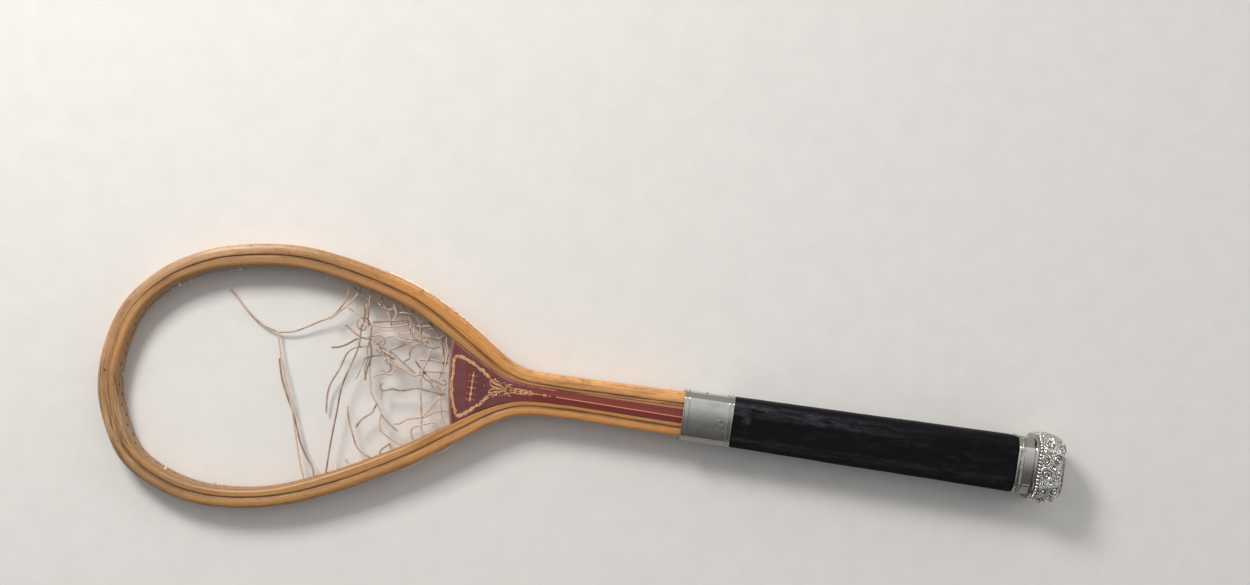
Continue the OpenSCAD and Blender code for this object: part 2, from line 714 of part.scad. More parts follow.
// Strings that run across the head
crosses = [
    concat(placed([
        [-455.4, 20.2, 1.6], [-455.4, 17.4, 1.6], [-456.2, 13.6, 1.6], [-457, 9.6, 1.6],
        [-458.2, 5.6, 1.6], [-458.8, 1.6, 1.7], [-458.8, -3, 1.7], [-458.2, -9, 1.6],
        [-457.3, -15, 1.6], [-456.2, -21, 1.6], [-455.2, -26, 1.6], [-454.4, -30, 1.6],
        [-454.2, -34.4, 1.7], [-453, -38.6, 1.9]
    ]), to_hole(-451.4, -42.4)),
    concat(from_hole(-503.4, 55), placed([
        [-503.2, 51, 2.2], [-503.1, 46, 2], [-503, 41, 1.8], [-502.7, 37, 1.6],
        [-502.9, 33.9, 1.6]
    ])),
    placed([
        [-505.4, 44.6, -1.2], [-505.3, 40.8, -1.3], [-505.2, 36.6, -1.4], [-505.8, 32, -1.5],
        [-506.2, 28.4, -1.5]
    ]),
    concat(from_hole(-487.7, 51), placed([
        [-485.6, 47.2, 2], [-484, 44, 1.8], [-483.3, 41, 1.5], [-484.2, 38, 1.1],
        [-485.6, 35.2, 0]
    ])),
    concat(from_hole(-480, 48.5), placed([
        [-478.2, 45.4, -1.8], [-476, 41.8, -1.4], [-473.6, 38.8, -1.2], [-471.4, 36, -1.2],
        [-469.6, 33, -1.2],
        [-469.2, 30.6, 0.1], [-468.8, 28, 0.2], [-467.6, 26.2, 0.1], [-465.4, 25.6, 0.1],
        [-462.6, 26.1, 0.1]
    ])),
    concat(from_hole(-472.7, 46), placed([
        [-469.4, 42, 1.9], [-466.8, 38.6, 1.8], [-464.8, 34.8, 1.6], [-464.4, 31.4, 1.4],
        [-464, 28.6, 1.4], [-463.6, 25, 1.6], [-463, 22.6, 1.4]
    ])),
    concat(from_hole(-458.5, 39.5), placed([
        [-456.6, 36.6, 1.6], [-454.4, 34.2, 1.6], [-452.6, 31.8, 1.5], [-450.8, 29.8, 1.4]
    ])),
    placed([
        [-448, 30, -0.2], [-448.3, 26.6, -0.8], [-447.7, 23.6, -1.4], [-445.8, 18, -1.5],
        [-445.1, 13, -1.5], [-445.3, 8, -1.5], [-445.4, 4.4, -1.5], [-446.4, 1.6, -1.2],
        [-447.4, -0.8, -0.4]
    ]),
    concat(from_hole(-443.9, 32), placed([
        [-445.2, 28.8, 2.2], [-444.2, 24.4, 2], [-442.4, 20.4, 1.7], [-442.9, 16.4, 1.6],
        [-443.2, 12.4, 1.5], [-443.6, 9, 1.5]
    ])),
    concat(placed([
        [-499.6, 29.6, -1.2], [-499.5, 27, -0.6], [-499.4, 24.4, 0.4], [-499.3, 22.4, 1.2],
        [-499.2, 20.8, 1.6], [-499, 19, 1.6], [-497.8, 16, 1.6], [-496.8, 12.2, 1.6],
        [-496.5, 8.6, 1.6], [-497, 5, 1.6], [-498, 1, 1.6], [-498.4, -4, 1.6], [-498.4, -9, 1.6]
    ])),
    concat(placed([
        [-496.6, 4.6, 0.2], [-496.4, 0, 0.1], [-495.7, -5, 0], [-494.4, -11, 0],
        [-493, -17, 0], [-490.4, -20.8, 0], [-487.4, -24.6, 0], [-484.8, -28.6, 0],
        [-483.6, -31.4, 0], [-484, -35, 0.2], [-483.6, -39, 0.6], [-482.4, -42.4, 1],
        [-478.4, -45.2, 1.4], [-473, -47.9, 1.8], [-468.4, -49.8, 2.1]
    ]), to_hole(-465.5, -51)),
    concat(placed([
        [-508.6, -28.4, -0.6], [-507.8, -32, -0.8], [-506.4, -37.4, -1], [-504, -43.8, -1.2],
        [-501.4, -49.6, -1.5], [-498.8, -55.4, -1.8], [-495.6, -59, -2], [-491.6, -61.6, -2.2]
    ]), to_hole(-487.3, -63.5)),
    placed([
        [-448.4, -4.8, -1.5], [-446.2, -6.2, -1.5], [-444.2, -8.2, -1.5], [-443.5, -10.4, -1.5],
        [-444.3, -12.8, -1.5], [-446.6, -16.6, -1.5], [-449, -20.6, -1.5], [-451.3, -24.6, -1.5],
        [-453.4, -28.4, -1.5]
    ]),
    concat(placed([
        [-443.8, -12.6, 0.2], [-443.2, -16, 1], [-442.4, -20, 1.8], [-441, -24.4, 2],
        [-439.6, -28.6, 2.2]
    ]), to_hole(-437.1, -33)),
    concat(placed([
        [-454.6, -35.4, 0.2], [-458.2, -36.2, 0], [-460.6, -38.6, -0.8], [-460.8, -42, -1.6]
    ]), to_hole(-458.4, -46.8)),
    placed([
        [-487.4, -23.6, -1.4], [-489, -27, -1.3], [-490.3, -31, -1.3], [-493.4, -33.6, -1.3],
        [-496.8, -36.8, -1.3], [-499.2, -40.6, -1.3], [-500.3, -43.4, -1.3]
    ]),
    placed([
        [-484.2, -30, 1.4], [-481.2, -33.4, 1.3], [-477.6, -36.4, 1], [-473.6, -39.2, 0.6],
        [-469.8, -41.4, 0.2]
    ]),
    concat(from_hole(-495.5, 53), placed([
        [-494.6, 49, -1.5], [-493.4, 46.4, -1.3], [-491.2, 43, -1.2], [-489, 39.8, -1.2],
        [-487.2, 36.6, -1.3], [-486, 33.4, -1.4], [-485.4, 30.6, -1.5]
    ]))
];

// Loops, ties and short ends in the tangle
knots = [
    placed([
        [-517, 56, 0.2], [-514.4, 54.4, -0.2], [-512, 53.3, -0.3], [-508.6, 52.6, 0.4],
        [-505.4, 52.1, 0.8]
    ]),
    placed([
        [-512.4, 54.2, 1.2], [-510.8, 51.2, 1.1], [-507.4, 49.4, 1], [-503.4, 48, 0.5],
        [-499, 47.8, 0.2], [-494.2, 48, 0.1]
    ]),
    placed([
        [-496.4, 46.4, 0.2], [-494.4, 44.5, 0.2], [-491.8, 43.6, 0.2], [-488.4, 43.7, 0.2],
        [-484.2, 43.6, 0.3]
    ]),
    placed([[-480.6, 42.3, 0.7], [-478, 42.7, 0.7], [-475, 42.7, 0.7], [-472.2, 42.4, 0.5]]),
    placed([
        [-467.2, 35, 0.2], [-464.6, 34.8, 0.1], [-461.6, 35.5, 0], [-458.6, 36, 0],
        [-456.6, 36.3, 0.2]
    ]),
    placed([
        [-508.4, 34, 1.6], [-510, 31.6, 1.3], [-509.6, 28.9, 1], [-507.6, 27, 1],
        [-505, 26.4, 1], [-503.4, 28.4, 1], [-503.4, 31, 1.5]
    ]),
    placed([
        [-506.8, 35.6, 1.4], [-504.4, 35.4, 2.9], [-502.3, 34.4, 3.1], [-501.3, 32.2, 2.4],
        [-501.3, 30.6, 1.6], [-501.6, 29.2, 1]
    ]),
    placed([
        [-462.8, 22.4, 0], [-465.8, 21.7, 0], [-468.2, 19.8, 0], [-469.6, 17, 0],
        [-469.7, 13.6, 0], [-469.5, 11, 0.6], [-471.6, 9.5, 1.2], [-473.2, 7.6, 1.4]
    ]),
    placed([
        [-452.4, -0.4, 0], [-449.6, -1.9, 0.2], [-446.6, -3.1, 0], [-443.6, -4, 0],
        [-441.6, -3.8, 0], [-441, -2.2, 0], [-442.5, -0.7, 0], [-444.6, -0.3, 0.2]
    ]),
    placed([[-441, -5.6, 0], [-441.4, -7, -0.2], [-443.2, -7.8, -0.2]]),
    placed([[-494.6, 17, 1.4], [-492.6, 19.8, 1.4], [-490.2, 21.4, 1.2]]),
    placed([
        [-492.4, 16.8, -1.4], [-490.6, 14.6, -1.3], [-489.6, 12.8, -1.2], [-487.4, 11.4, -1.2],
        [-484.4, 10.7, -1.2], [-481.8, 9.2, -1.2], [-479.4, 9.6, -1.3]
    ]),
    placed([
        [-484.4, 14.9, 1.4], [-481.2, 16.6, 1.3], [-478.4, 18.2, 1.1], [-475.4, 19.8, 0.7],
        [-472.6, 21.9, -0.1]
    ]),
    placed([[-485.5, -14.4, -1.4], [-485.5, -18, -1.3], [-485.9, -21.4, -1.3]]),
    placed([[-453.2, -34.2, 0.2], [-449.4, -32.7, 0.2], [-446.4, -31.7, 0.2], [-443.2, -32, 0.2]]),
    placed([[-465.6, 10.6, -0.1], [-463.8, 8.6, 0], [-461.8, 6.4, 0.1], [-459.8, 4.8, 0.2]]),
    concat(from_hole(-479, -59), placed([
        [-480, -56.6, 1.2], [-478.4, -54.6, 0.9], [-475.6, -52, 0.7], [-473.4, -50.4, 0.6]
    ]))
];

// Short ends that stand out of holes in the bow: a point near the hole, and how far they reach
stub_list = [
    [-655, 25, 2.4], [-645, 36, 3], [-640, 40, 2], [-633, 44, 2.6], [-605, 56, 2.2],
    [-598, 57, 1.6], [-536, 61, 2.6], [-465.6, 43, 2.4], [-451, 36, 1.2], [-509, -75, 4.5],
    [-502, -71, 6], [-494.6, -67.5, 3], [-472.7, -55, 3.6], [-444, -38, 2.4],
    [-671, -30, 1.6], [-630, -92, 1.8], [-593, -98.8, 1.4]
];
function stub(x, y, reach) =
    let (i = nearest([x + head_shift, y]), q = holes[i], z = stagger(i))
    [at(q, q[2] - hole_bite, z), at(q, q[2], z), at(q, q[2] + reach, z * 0.6)];

// Gut lying against the outer wall of the bow, by distance along the bow from the flare
lie_on = gut_d / 2 + 0.03;
function outer_run(s0, s1, z0, z1) =
    let (n = ceil(abs(s1 - s0) / 3.4))
    [for (k = [0 : n])
        at(place(s0 + (s1 - s0) * k / n), -lie_on, z0 + (z1 - z0) * k / n)];
upper_runs = [
    outer_run(flare_start + 122, flare_start + 156, 4.4, -1),
    outer_run(flare_start + 99, flare_start + 114, 3.6, 5),
    outer_run(flare_start + 55, flare_start + 97, 1.6, 4.6)
];
lower_runs = [
    outer_run(flare_end - 130, flare_end - 112, 2.4, 4),
    outer_run(flare_end - 100, flare_end - 89, 3, 0.6)
];

module gut_long_strand() {
    stand()
        gut(long_strand);
}

module gut_short_strand() {
    stand()
        gut(short_strand);
}

module gut_hanging_pair() {
    stand() {
        gut(hanging_strand);
        gut(hanging_whisker);
    }
}

module gut_left_cross() {
    stand()
        gut(left_cross);
}

module gut_left_whisker() {
    stand()
        gut(left_whisker);
}

module gut_mains() {
    stand()
        for (route = mains)
            gut(route);
}

module gut_crosses() {
    stand()
        for (route = crosses)
            gut(route);
}

module gut_knots() {
    stand()
        for (route = knots)
            gut(route);
}

module gut_stubs() {
    stand()
        for (s = stub_list)
            gut(stub(s[0], s[1], s[2]));
}

module gut_outer_run_upper() {
    stand()
        for (route = upper_runs)
            gut(route);
}

module gut_outer_run_lower() {
    stand()
        for (route = lower_runs)
            gut(route);
}

ash_bow();
throat_wedge();
shaft_filler();
handle_cheek_front();
handle_cheek_back();
handle_slip_upper();
handle_slip_lower();
velvet_sleeve();
upper_collar_band();
upper_collar_front_wires();
upper_collar_rear_wires();
collar_pins();
lower_collar_bead();
lower_collar_milled_band();
lower_collar_plain_band();
cap_flange();
butt_cap();
butt_block();
butt_plate();
gut_long_strand();
gut_short_strand();
gut_hanging_pair();
gut_left_cross();
gut_left_whisker();
gut_mains();
gut_crosses();
gut_knots();
gut_stubs();
gut_outer_run_upper();
gut_outer_run_lower();
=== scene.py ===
"""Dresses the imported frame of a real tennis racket: fine surfaces, finishes, floor, light, camera.

Numbers in the tables below are millimetres in the working frame of the CAD source: x is 0 at the
butt end and negative towards the head, y runs up the face, z is 0 in the string plane. place()
turns them into metres in the shared frame.
"""

from collections import namedtuple
from math import pi, radians

import bpy
import numpy as np
from bpy.props import FloatProperty, FloatVectorProperty, IntProperty, PointerProperty
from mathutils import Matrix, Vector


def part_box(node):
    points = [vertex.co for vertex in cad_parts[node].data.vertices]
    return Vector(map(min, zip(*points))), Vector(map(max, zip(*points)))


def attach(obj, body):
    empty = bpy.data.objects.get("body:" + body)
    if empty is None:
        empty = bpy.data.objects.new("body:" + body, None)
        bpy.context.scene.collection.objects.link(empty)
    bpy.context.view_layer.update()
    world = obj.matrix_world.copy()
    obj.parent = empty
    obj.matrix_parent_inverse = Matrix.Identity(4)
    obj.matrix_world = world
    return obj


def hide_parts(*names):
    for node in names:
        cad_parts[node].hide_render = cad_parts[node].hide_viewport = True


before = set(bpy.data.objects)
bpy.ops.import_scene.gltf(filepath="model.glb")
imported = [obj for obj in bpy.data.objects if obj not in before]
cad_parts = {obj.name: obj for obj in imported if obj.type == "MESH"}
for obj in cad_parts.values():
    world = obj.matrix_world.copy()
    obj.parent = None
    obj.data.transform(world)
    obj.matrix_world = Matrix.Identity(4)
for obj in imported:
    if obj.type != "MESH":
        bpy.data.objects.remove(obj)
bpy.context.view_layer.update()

bl_info = {
    "name": "Real tennis racket",
    "version": (1, 0, 0),
    "blender": (4, 5, 0),
    "location": "View3D > Sidebar > Racket",
    "description": "Dresses a real tennis racket with ash, lacquer, silver, velvet and gut",
    "category": "Add Mesh",
}

MM = 0.001

# The working frame's zero point in the shared frame, from the CAD nodes
PLATE = np.array(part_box("butt_plate"))
FILLER = np.array(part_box("shaft_filler"))
BOW_BOX = np.array(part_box("ash_bow"))
ZERO = np.array([PLATE[1, 0], FILLER[:, 1].mean(), BOW_BOX[:, 2].mean()])
X0, Y0, Z0 = (float(v) for v in ZERO)


def place(points):
    """Working frame in millimetres to the shared frame in metres."""
    return np.asarray(points, float) * MM + ZERO


def reach(node, axis=0):
    """Lowest and highest place of a CAD node along an axis, in the working frame's millimetres."""
    box = (np.array(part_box(node)) - ZERO) / MM
    return box[0, axis], box[1, axis]


COLLAR_FRONT = reach("upper_collar_band")[0]
BAND_FRONT = reach("lower_collar_bead")[0]
WOOD_END = reach("cap_flange")[1]
HALF_DEPTH = reach("ash_bow", 2)[1]

# The limbs part at the flare. The tables have it at x = -350, so the head moves by the rest
SHAFT_LENGTH = 78.5
FLARE = COLLAR_FRONT - SHAFT_LENGTH
HEAD_SHIFT = FLARE + 350

# Bends of the bow's outer edge: x, y and the bow's width, from the upper limb round the head
BENDS = [
    (-350, 14.9, 10), (-375, 15, 10), (-388, 16.6, 10.8), (-400, 21.5, 12.4), (-420, 35, 14.8),
    (-440, 47.5, 15.6), (-470, 62, 16), (-510, 73, 16), (-553, 79, 16), (-592, 75.3, 16),
    (-626, 65, 15), (-655, 46.2, 14), (-677, 17.5, 14), (-685.5, -22, 14), (-680.5, -55, 14),
    (-662, -88, 14), (-632, -106.3, 14), (-595, -112.8, 14), (-550, -106.8, 14),
    (-505, -89.5, 15), (-462, -66, 14.6), (-430, -44.5, 13.4), (-410, -30, 12),
    (-395, -21.3, 11), (-380, -16.6, 10.2), (-350, -14.9, 10)
]

# The limbs' outer edge, width and stations in the handle, and the steps a bend, as the CAD
# source has them and as the fine bow has them
NECK_Y = 15.8
LIMB_W = 10
NECK_STEPS = 6
CAD_STEPS = 5
FINE_STEPS = CAD_STEPS * 3

# Places on the bow that its finish and its groove are set out from
CROWN = (-685, -22)
LOWER_BEND = (-662, -88)
UPPER_SHOULDER = (-645, 53)

# String holes: the first and the last one's distance from the flares, how far they stand off
# the middle of the wall by turns, and how far gut goes into them
FIRST_HOLE = 94.4
LAST_HOLE = 86
STAGGER = 2.2
HOLE_BITE = 5

# Distance between the rings of a strand, and the length in metres from which it is a cord
GUT_STEP = 0.42
CORD_FROM = 0.0312

# Silver: its gap to the wood below, the thickness of sheet, the width of the collar's wires and
# the height of the cap's flange
SEAT = 0.05
SHEET = 0.7
WIRE = 1.3
FLANGE = 3.86

# Camera: its place in metres, its height above the string plane, its turn and its lens
CAMERA_X, CAMERA_Y = 0.01869, 0.0969
CAMERA_HEIGHT = 1.16
CAMERA_TURN = 8.37
CAMERA_LENS = 46.83

# Floor, in metres: the racket lies on its cap and its crown, so the floor rises towards the
# head. It is level with z = 0 at the foot, less a gap
FLOOR_RISE, FLOOR_RUN = 0.01172, 0.67
FLOOR_FOOT = 0.33
FLOOR_GAP = 0.0001

Strand = namedtuple("Strand", "route start end", defaults=(None, None))

# Gut: the strands of each node, with the hole that a strand starts from or ends in
GUT = {
    "gut_long_strand": [Strand([
        (-519, 53, 0.8), (-520.3, 47, -0.4), (-522.6, 41.6, -1.6), (-526, 36, -2.8),
        (-531, 31.4, -4), (-537, 28, -5), (-545, 23.2, -6), (-553, 18.8, -7), (-560, 16.6, -7.6),
        (-567, 16, -8), (-575, 18, -8.4), (-583, 22, -8.7), (-590, 27.4, -8.9), (-597, 34, -9.1),
        (-602, 38.8, -9.2), (-606, 42, -9.2)
    ], start=(-519, 58))],
    "gut_short_strand": [Strand([
        (-512.4, 52.6, -1.8), (-514.2, 49, -0.9), (-516.4, 45.4, 0), (-519, 41.8, 0.6),
        (-522, 38.6, 0.8), (-525.4, 35, 0.4), (-528, 32.4, 0), (-529.8, 30.6, -0.4)
    ], start=(-511.5, 56))],
    "gut_hanging_pair": [Strand([
        (-566.4, 16.6, -6.6), (-565, 11, -6.2), (-563, 4, -5.8), (-560, -5, -5.2),
        (-556.4, -14, -4.7), (-552.6, -24, -4.2), (-549, -34, -3.7), (-545.4, -45, -3.2),
        (-542, -56, -2.8), (-539, -66, -2.5), (-536, -75, -2.3), (-533.6, -81, -2.2)
    ], end=(-532, -85)), Strand([
        (-563, -2.4, -8), (-561, -10, -7.6), (-558.4, -18, -7.2), (-554.6, -26, -6.6),
        (-550.6, -33.4, -6), (-546.6, -41, -5.4), (-542.6, -50, -4.8), (-538.6, -60, -4.2),
        (-533, -68.6, -3), (-528, -74.4, -1.2), (-525.4, -78.6, 1.4)
    ], end=(-524.3, -82))],
    "gut_left_cross": [Strand([
        (-506, 31.4, 2.4), (-506.4, 27, 2.4), (-506, 21.4, 2.2), (-506.2, 15.6, 2),
        (-507.2, 10, 1.8), (-508.8, 4, 1.6), (-510.8, -2.4, 1.2), (-512.8, -9, 0.8),
        (-514.2, -15.6, 0.4), (-514.9, -23, 0), (-515.2, -32, -0.4), (-515.8, -42, -0.8),
        (-516.4, -53, -1.2), (-516.8, -64, -1.7), (-516.9, -73, -2.1)
    ], end=(-516.8, -78.5))],
    "gut_left_whisker": [Strand([
        (-498.4, 15.6, 0), (-503, 14.8, -0.2), (-508, 13.4, -0.6), (-511.6, 11.4, -1.2),
        (-514.4, 8, -2), (-516.2, 3, -2.8), (-517.8, -2, -3.8), (-520, -7.4, -4.6),
        (-522.4, -12.4, -5.4), (-524.1, -17.4, -6.2), (-524.8, -23, -7), (-524.6, -30, -7.8),
        (-524, -37, -8.6)
    ])],
    "gut_mains": [Strand([
        (-519, 28.6, -0.8), (-514.6, 26, -0.6), (-510.6, 23.4, -0.2), (-507, 21.4, 0),
        (-503.6, 20.6, 0), (-499.6, 20.8, 0), (-496.8, 20.1, 0), (-494, 18.8, 0), (-490, 16.3, 0),
        (-485.8, 14.5, 0), (-482, 13, 0), (-478, 10.5, 0), (-474, 7.6, 0), (-470, 5.2, 0),
        (-466.5, 2.8, 0), (-463.4, 0.8, -0.6)
    ]), Strand([
        (-518.2, 40.6, 0.2), (-514.4, 39, -0.4), (-510.4, 36.8, -0.2), (-507, 34.6, 0),
        (-504, 32.6, 0), (-501.4, 31.1, 0), (-497.6, 30.6, 0), (-492.8, 30.6, 0),
        (-488.2, 30.9, 0), (-484.5, 31.6, 0), (-480, 33, 0), (-475.6, 34.4, 0),
        (-472.6, 35.5, 0.2), (-471.6, 33.6, 0.4), (-470.9, 31.8, 0.6)
    ]), Strand([
        (-499.6, 32.8, 1.6), (-497.4, 33.2, 1.6), (-492.6, 34.2, 1.6), (-488.4, 35.2, 1.7),
        (-484.6, 36, 2.6), (-480.8, 36.8, 2.6), (-477.6, 37.4, 2.2), (-474.8, 37.8, 1.6)
    ]), Strand([
        (-526, 10.8, 0.4), (-521.2, 11.7, 0.4), (-516.8, 13.6, 0.4), (-512.4, 16.5, 0.5),
        (-509, 19.1, 0.6), (-506.9, 19.9, 0.6)
    ]), Strand([
        (-501.6, 22.5, -1.5), (-498.4, 22.9, -1.5), (-495, 24.2, -1.5), (-492, 24.3, -1.5),
        (-489, 23.4, -1.5), (-486, 24.6, -1.5), (-483.4, 24.9, -1.5), (-480.8, 23.7, -1.5),
        (-477.4, 23, -1.5), (-474, 22.7, -1.5), (-470.6, 23, -1.5), (-467, 23.9, -1.5),
        (-463.6, 23.4, -1.4), (-460.4, 24.5, -1.4), (-457.6, 23.8, -1.4), (-455.8, 22.9, -1.4)
    ]), Strand([
        (-484, 30, -1.6), (-481, 29.1, -1.5), (-477, 28.4, -1.4), (-472.6, 28.5, -1.4),
        (-469, 29.5, -1.4)
    ]), Strand([
        (-462.6, 28.3, 1.4), (-460, 27.4, 1.4), (-456.6, 27.7, 1.4), (-453, 27.8, 1.4),
        (-450.4, 28.1, 1.4), (-448.6, 29.5, 1.4), (-446.9, 31.2, 1.6)
    ]), Strand([
        (-460.6, 22.6, -0.2), (-458.6, 21.3, 0), (-456, 20.7, 0.1), (-453.8, 20.7, 0.1),
        (-451.4, 21.8, 0.1), (-448.2, 23.1, 0.1)
    ]), Strand([
        (-462.8, 11.1, 0), (-459, 11.5, 0), (-455.4, 12, 0), (-452, 12.4, 0), (-448, 12.2, 0),
        (-444.4, 11.8, 0), (-441, 11.7, 0)
    ]), Strand([
        (-462, 2.2, 0.1), (-459.4, 3, 0.1), (-456, 3.6, 0.1), (-452, 4.1, 0.1), (-448, 4.6, 0.1),
        (-444.4, 4.8, 0.1), (-441, 4.9, 0.1)
    ]), Strand([
        (-486.2, -9, -0.8), (-487.2, -11, -0.4), (-486.5, -13.4, 0), (-484.5, -14.2, 0),
        (-481.5, -13.4, 0), (-478.2, -12.1, 0), (-475, -12.5, 0), (-471, -12.2, 0), (-467, -11, 0),
        (-463, -9.6, 0), (-459.4, -9.1, 0), (-455, -9.7, 0), (-450, -10, 0), (-446, -10.5, 0),
        (-442.4, -10.6, 0), (-439.6, -10.6, 0)
    ]), Strand([
        (-486.8, 8.8, 1.4), (-485.6, 6.4, 1.4), (-482.2, 5.3, 1.4), (-477.6, 4.4, 1.4),
        (-473.6, 3.6, 1.4), (-470.2, 2.4, 1.5), (-467.3, 0.4, 1.6), (-463.8, -0.4, 1.6),
        (-460.6, 0.6, 0.4), (-457.6, 2.1, -1.3), (-454.6, 0.4, -1.4), (-452.4, -1.8, -1.4),
        (-450.4, -3.9, -1.4)
    ]), Strand([
        (-435.6, -21.5, 0.6), (-439.6, -22.1, 0.4), (-444, -23.3, 0), (-447.6, -25.2, 0),
        (-450.6, -27.3, 0), (-453.8, -29.2, 0), (-458, -30.2, 0), (-462, -31.1, 0),
        (-465, -32.2, 0), (-467.4, -34, 0), (-469.2, -35.7, 0), (-471.6, -36.3, 0),
        (-474, -36.4, 0)
    ]), Strand([
        (-493, -5, 1), (-490, -3.4, 1), (-486, -2, 1), (-482.6, -2.3, 1), (-480, -1.4, 1),
        (-479, 1, 0.8), (-478.6, 3.4, 0.4)
    ]), Strand([
        (-502, 5.4, 0.2), (-500, 7.1, 0.2), (-496, 8.8, 0.2), (-491.6, 10.2, 0.2),
        (-487.4, 11, 0.2)
    ])],
    "gut_crosses": [Strand([
        (-455.4, 20.2, 1.6), (-455.4, 17.4, 1.6), (-456.2, 13.6, 1.6), (-457, 9.6, 1.6),
        (-458.2, 5.6, 1.6), (-458.8, 1.6, 1.7), (-458.8, -3, 1.7), (-458.2, -9, 1.6),
        (-457.3, -15, 1.6), (-456.2, -21, 1.6), (-455.2, -26, 1.6), (-454.4, -30, 1.6),
        (-454.2, -34.4, 1.7), (-453, -38.6, 1.9)
    ], end=(-451.4, -42.4)), Strand([
        (-503.2, 51, 2.2), (-503.1, 46, 2), (-503, 41, 1.8), (-502.7, 37, 1.6), (-502.9, 33.9, 1.6)
    ], start=(-503.4, 55)), Strand([
        (-505.4, 44.6, -1.2), (-505.3, 40.8, -1.3), (-505.2, 36.6, -1.4), (-505.8, 32, -1.5),
        (-506.2, 28.4, -1.5)
    ]), Strand([
        (-485.6, 47.2, 2), (-484, 44, 1.8), (-483.3, 41, 1.5), (-484.2, 38, 1.1), (-485.6, 35.2, 0)
    ], start=(-487.7, 51)), Strand([
        (-478.2, 45.4, -1.8), (-476, 41.8, -1.4), (-473.6, 38.8, -1.2), (-471.4, 36, -1.2),
        (-469.6, 33, -1.2), (-469.2, 30.6, 0.1), (-468.8, 28, 0.2), (-467.6, 26.2, 0.1),
        (-465.4, 25.6, 0.1), (-462.6, 26.1, 0.1)
    ], start=(-480, 48.5)), Strand([
        (-469.4, 42, 1.9), (-466.8, 38.6, 1.8), (-464.8, 34.8, 1.6), (-464.4, 31.4, 1.4),
        (-464, 28.6, 1.4), (-463.6, 25, 1.6), (-463, 22.6, 1.4)
    ], start=(-472.7, 46)), Strand([
        (-456.6, 36.6, 1.6), (-454.4, 34.2, 1.6), (-452.6, 31.8, 1.5), (-450.8, 29.8, 1.4)
    ], start=(-458.5, 39.5)), Strand([
        (-448, 30, -0.2), (-448.3, 26.6, -0.8), (-447.7, 23.6, -1.4), (-445.8, 18, -1.5),
        (-445.1, 13, -1.5), (-445.3, 8, -1.5), (-445.4, 4.4, -1.5), (-446.4, 1.6, -1.2),
        (-447.4, -0.8, -0.4)
    ]), Strand([
        (-445.2, 28.8, 2.2), (-444.2, 24.4, 2), (-442.4, 20.4, 1.7), (-442.9, 16.4, 1.6),
        (-443.2, 12.4, 1.5), (-443.6, 9, 1.5)
    ], start=(-443.9, 32)), Strand([
        (-499.6, 29.6, -1.2), (-499.5, 27, -0.6), (-499.4, 24.4, 0.4), (-499.3, 22.4, 1.2),
        (-499.2, 20.8, 1.6), (-499, 19, 1.6), (-497.8, 16, 1.6), (-496.8, 12.2, 1.6),
        (-496.5, 8.6, 1.6), (-497, 5, 1.6), (-498, 1, 1.6), (-498.4, -4, 1.6), (-498.4, -9, 1.6)
    ]), Strand([
        (-496.6, 4.6, 0.2), (-496.4, 0, 0.1), (-495.7, -5, 0), (-494.4, -11, 0), (-493, -17, 0),
        (-490.4, -20.8, 0), (-487.4, -24.6, 0), (-484.8, -28.6, 0), (-483.6, -31.4, 0),
        (-484, -35, 0.2), (-483.6, -39, 0.6), (-482.4, -42.4, 1), (-478.4, -45.2, 1.4),
        (-473, -47.9, 1.8), (-468.4, -49.8, 2.1)
    ], end=(-465.5, -51)), Strand([
        (-508.6, -28.4, -0.6), (-507.8, -32, -0.8), (-506.4, -37.4, -1), (-504, -43.8, -1.2),
        (-501.4, -49.6, -1.5), (-498.8, -55.4, -1.8), (-495.6, -59, -2), (-491.6, -61.6, -2.2)
    ], end=(-487.3, -63.5)), Strand([
        (-448.4, -4.8, -1.5), (-446.2, -6.2, -1.5), (-444.2, -8.2, -1.5), (-443.5, -10.4, -1.5),
        (-444.3, -12.8, -1.5), (-446.6, -16.6, -1.5), (-449, -20.6, -1.5), (-451.3, -24.6, -1.5),
        (-453.4, -28.4, -1.5)
    ]), Strand([
        (-443.8, -12.6, 0.2), (-443.2, -16, 1), (-442.4, -20, 1.8), (-441, -24.4, 2),
        (-439.6, -28.6, 2.2)
    ], end=(-437.1, -33)), Strand([
        (-454.6, -35.4, 0.2), (-458.2, -36.2, 0), (-460.6, -38.6, -0.8), (-460.8, -42, -1.6)
    ], end=(-458.4, -46.8)), Strand([
        (-487.4, -23.6, -1.4), (-489, -27, -1.3), (-490.3, -31, -1.3), (-493.4, -33.6, -1.3),
        (-496.8, -36.8, -1.3), (-499.2, -40.6, -1.3), (-500.3, -43.4, -1.3)
    ]), Strand([
        (-484.2, -30, 1.4), (-481.2, -33.4, 1.3), (-477.6, -36.4, 1), (-473.6, -39.2, 0.6),
        (-469.8, -41.4, 0.2)
    ]), Strand([
        (-494.6, 49, -1.5), (-493.4, 46.4, -1.3), (-491.2, 43, -1.2), (-489, 39.8, -1.2),
        (-487.2, 36.6, -1.3), (-486, 33.4, -1.4), (-485.4, 30.6, -1.5)
    ], start=(-495.5, 53))],
    "gut_knots": [Strand([
        (-517, 56, 0.2), (-514.4, 54.4, -0.2), (-512, 53.3, -0.3), (-508.6, 52.6, 0.4),
        (-505.4, 52.1, 0.8)
    ]), Strand([
        (-512.4, 54.2, 1.2), (-510.8, 51.2, 1.1), (-507.4, 49.4, 1), (-503.4, 48, 0.5),
        (-499, 47.8, 0.2), (-494.2, 48, 0.1)
    ]), Strand([
        (-496.4, 46.4, 0.2), (-494.4, 44.5, 0.2), (-491.8, 43.6, 0.2), (-488.4, 43.7, 0.2),
        (-484.2, 43.6, 0.3)
    ]), Strand([
        (-480.6, 42.3, 0.7), (-478, 42.7, 0.7), (-475, 42.7, 0.7), (-472.2, 42.4, 0.5)
    ]), Strand([
        (-467.2, 35, 0.2), (-464.6, 34.8, 0.1), (-461.6, 35.5, 0), (-458.6, 36, 0),
        (-456.6, 36.3, 0.2)
    ]), Strand([
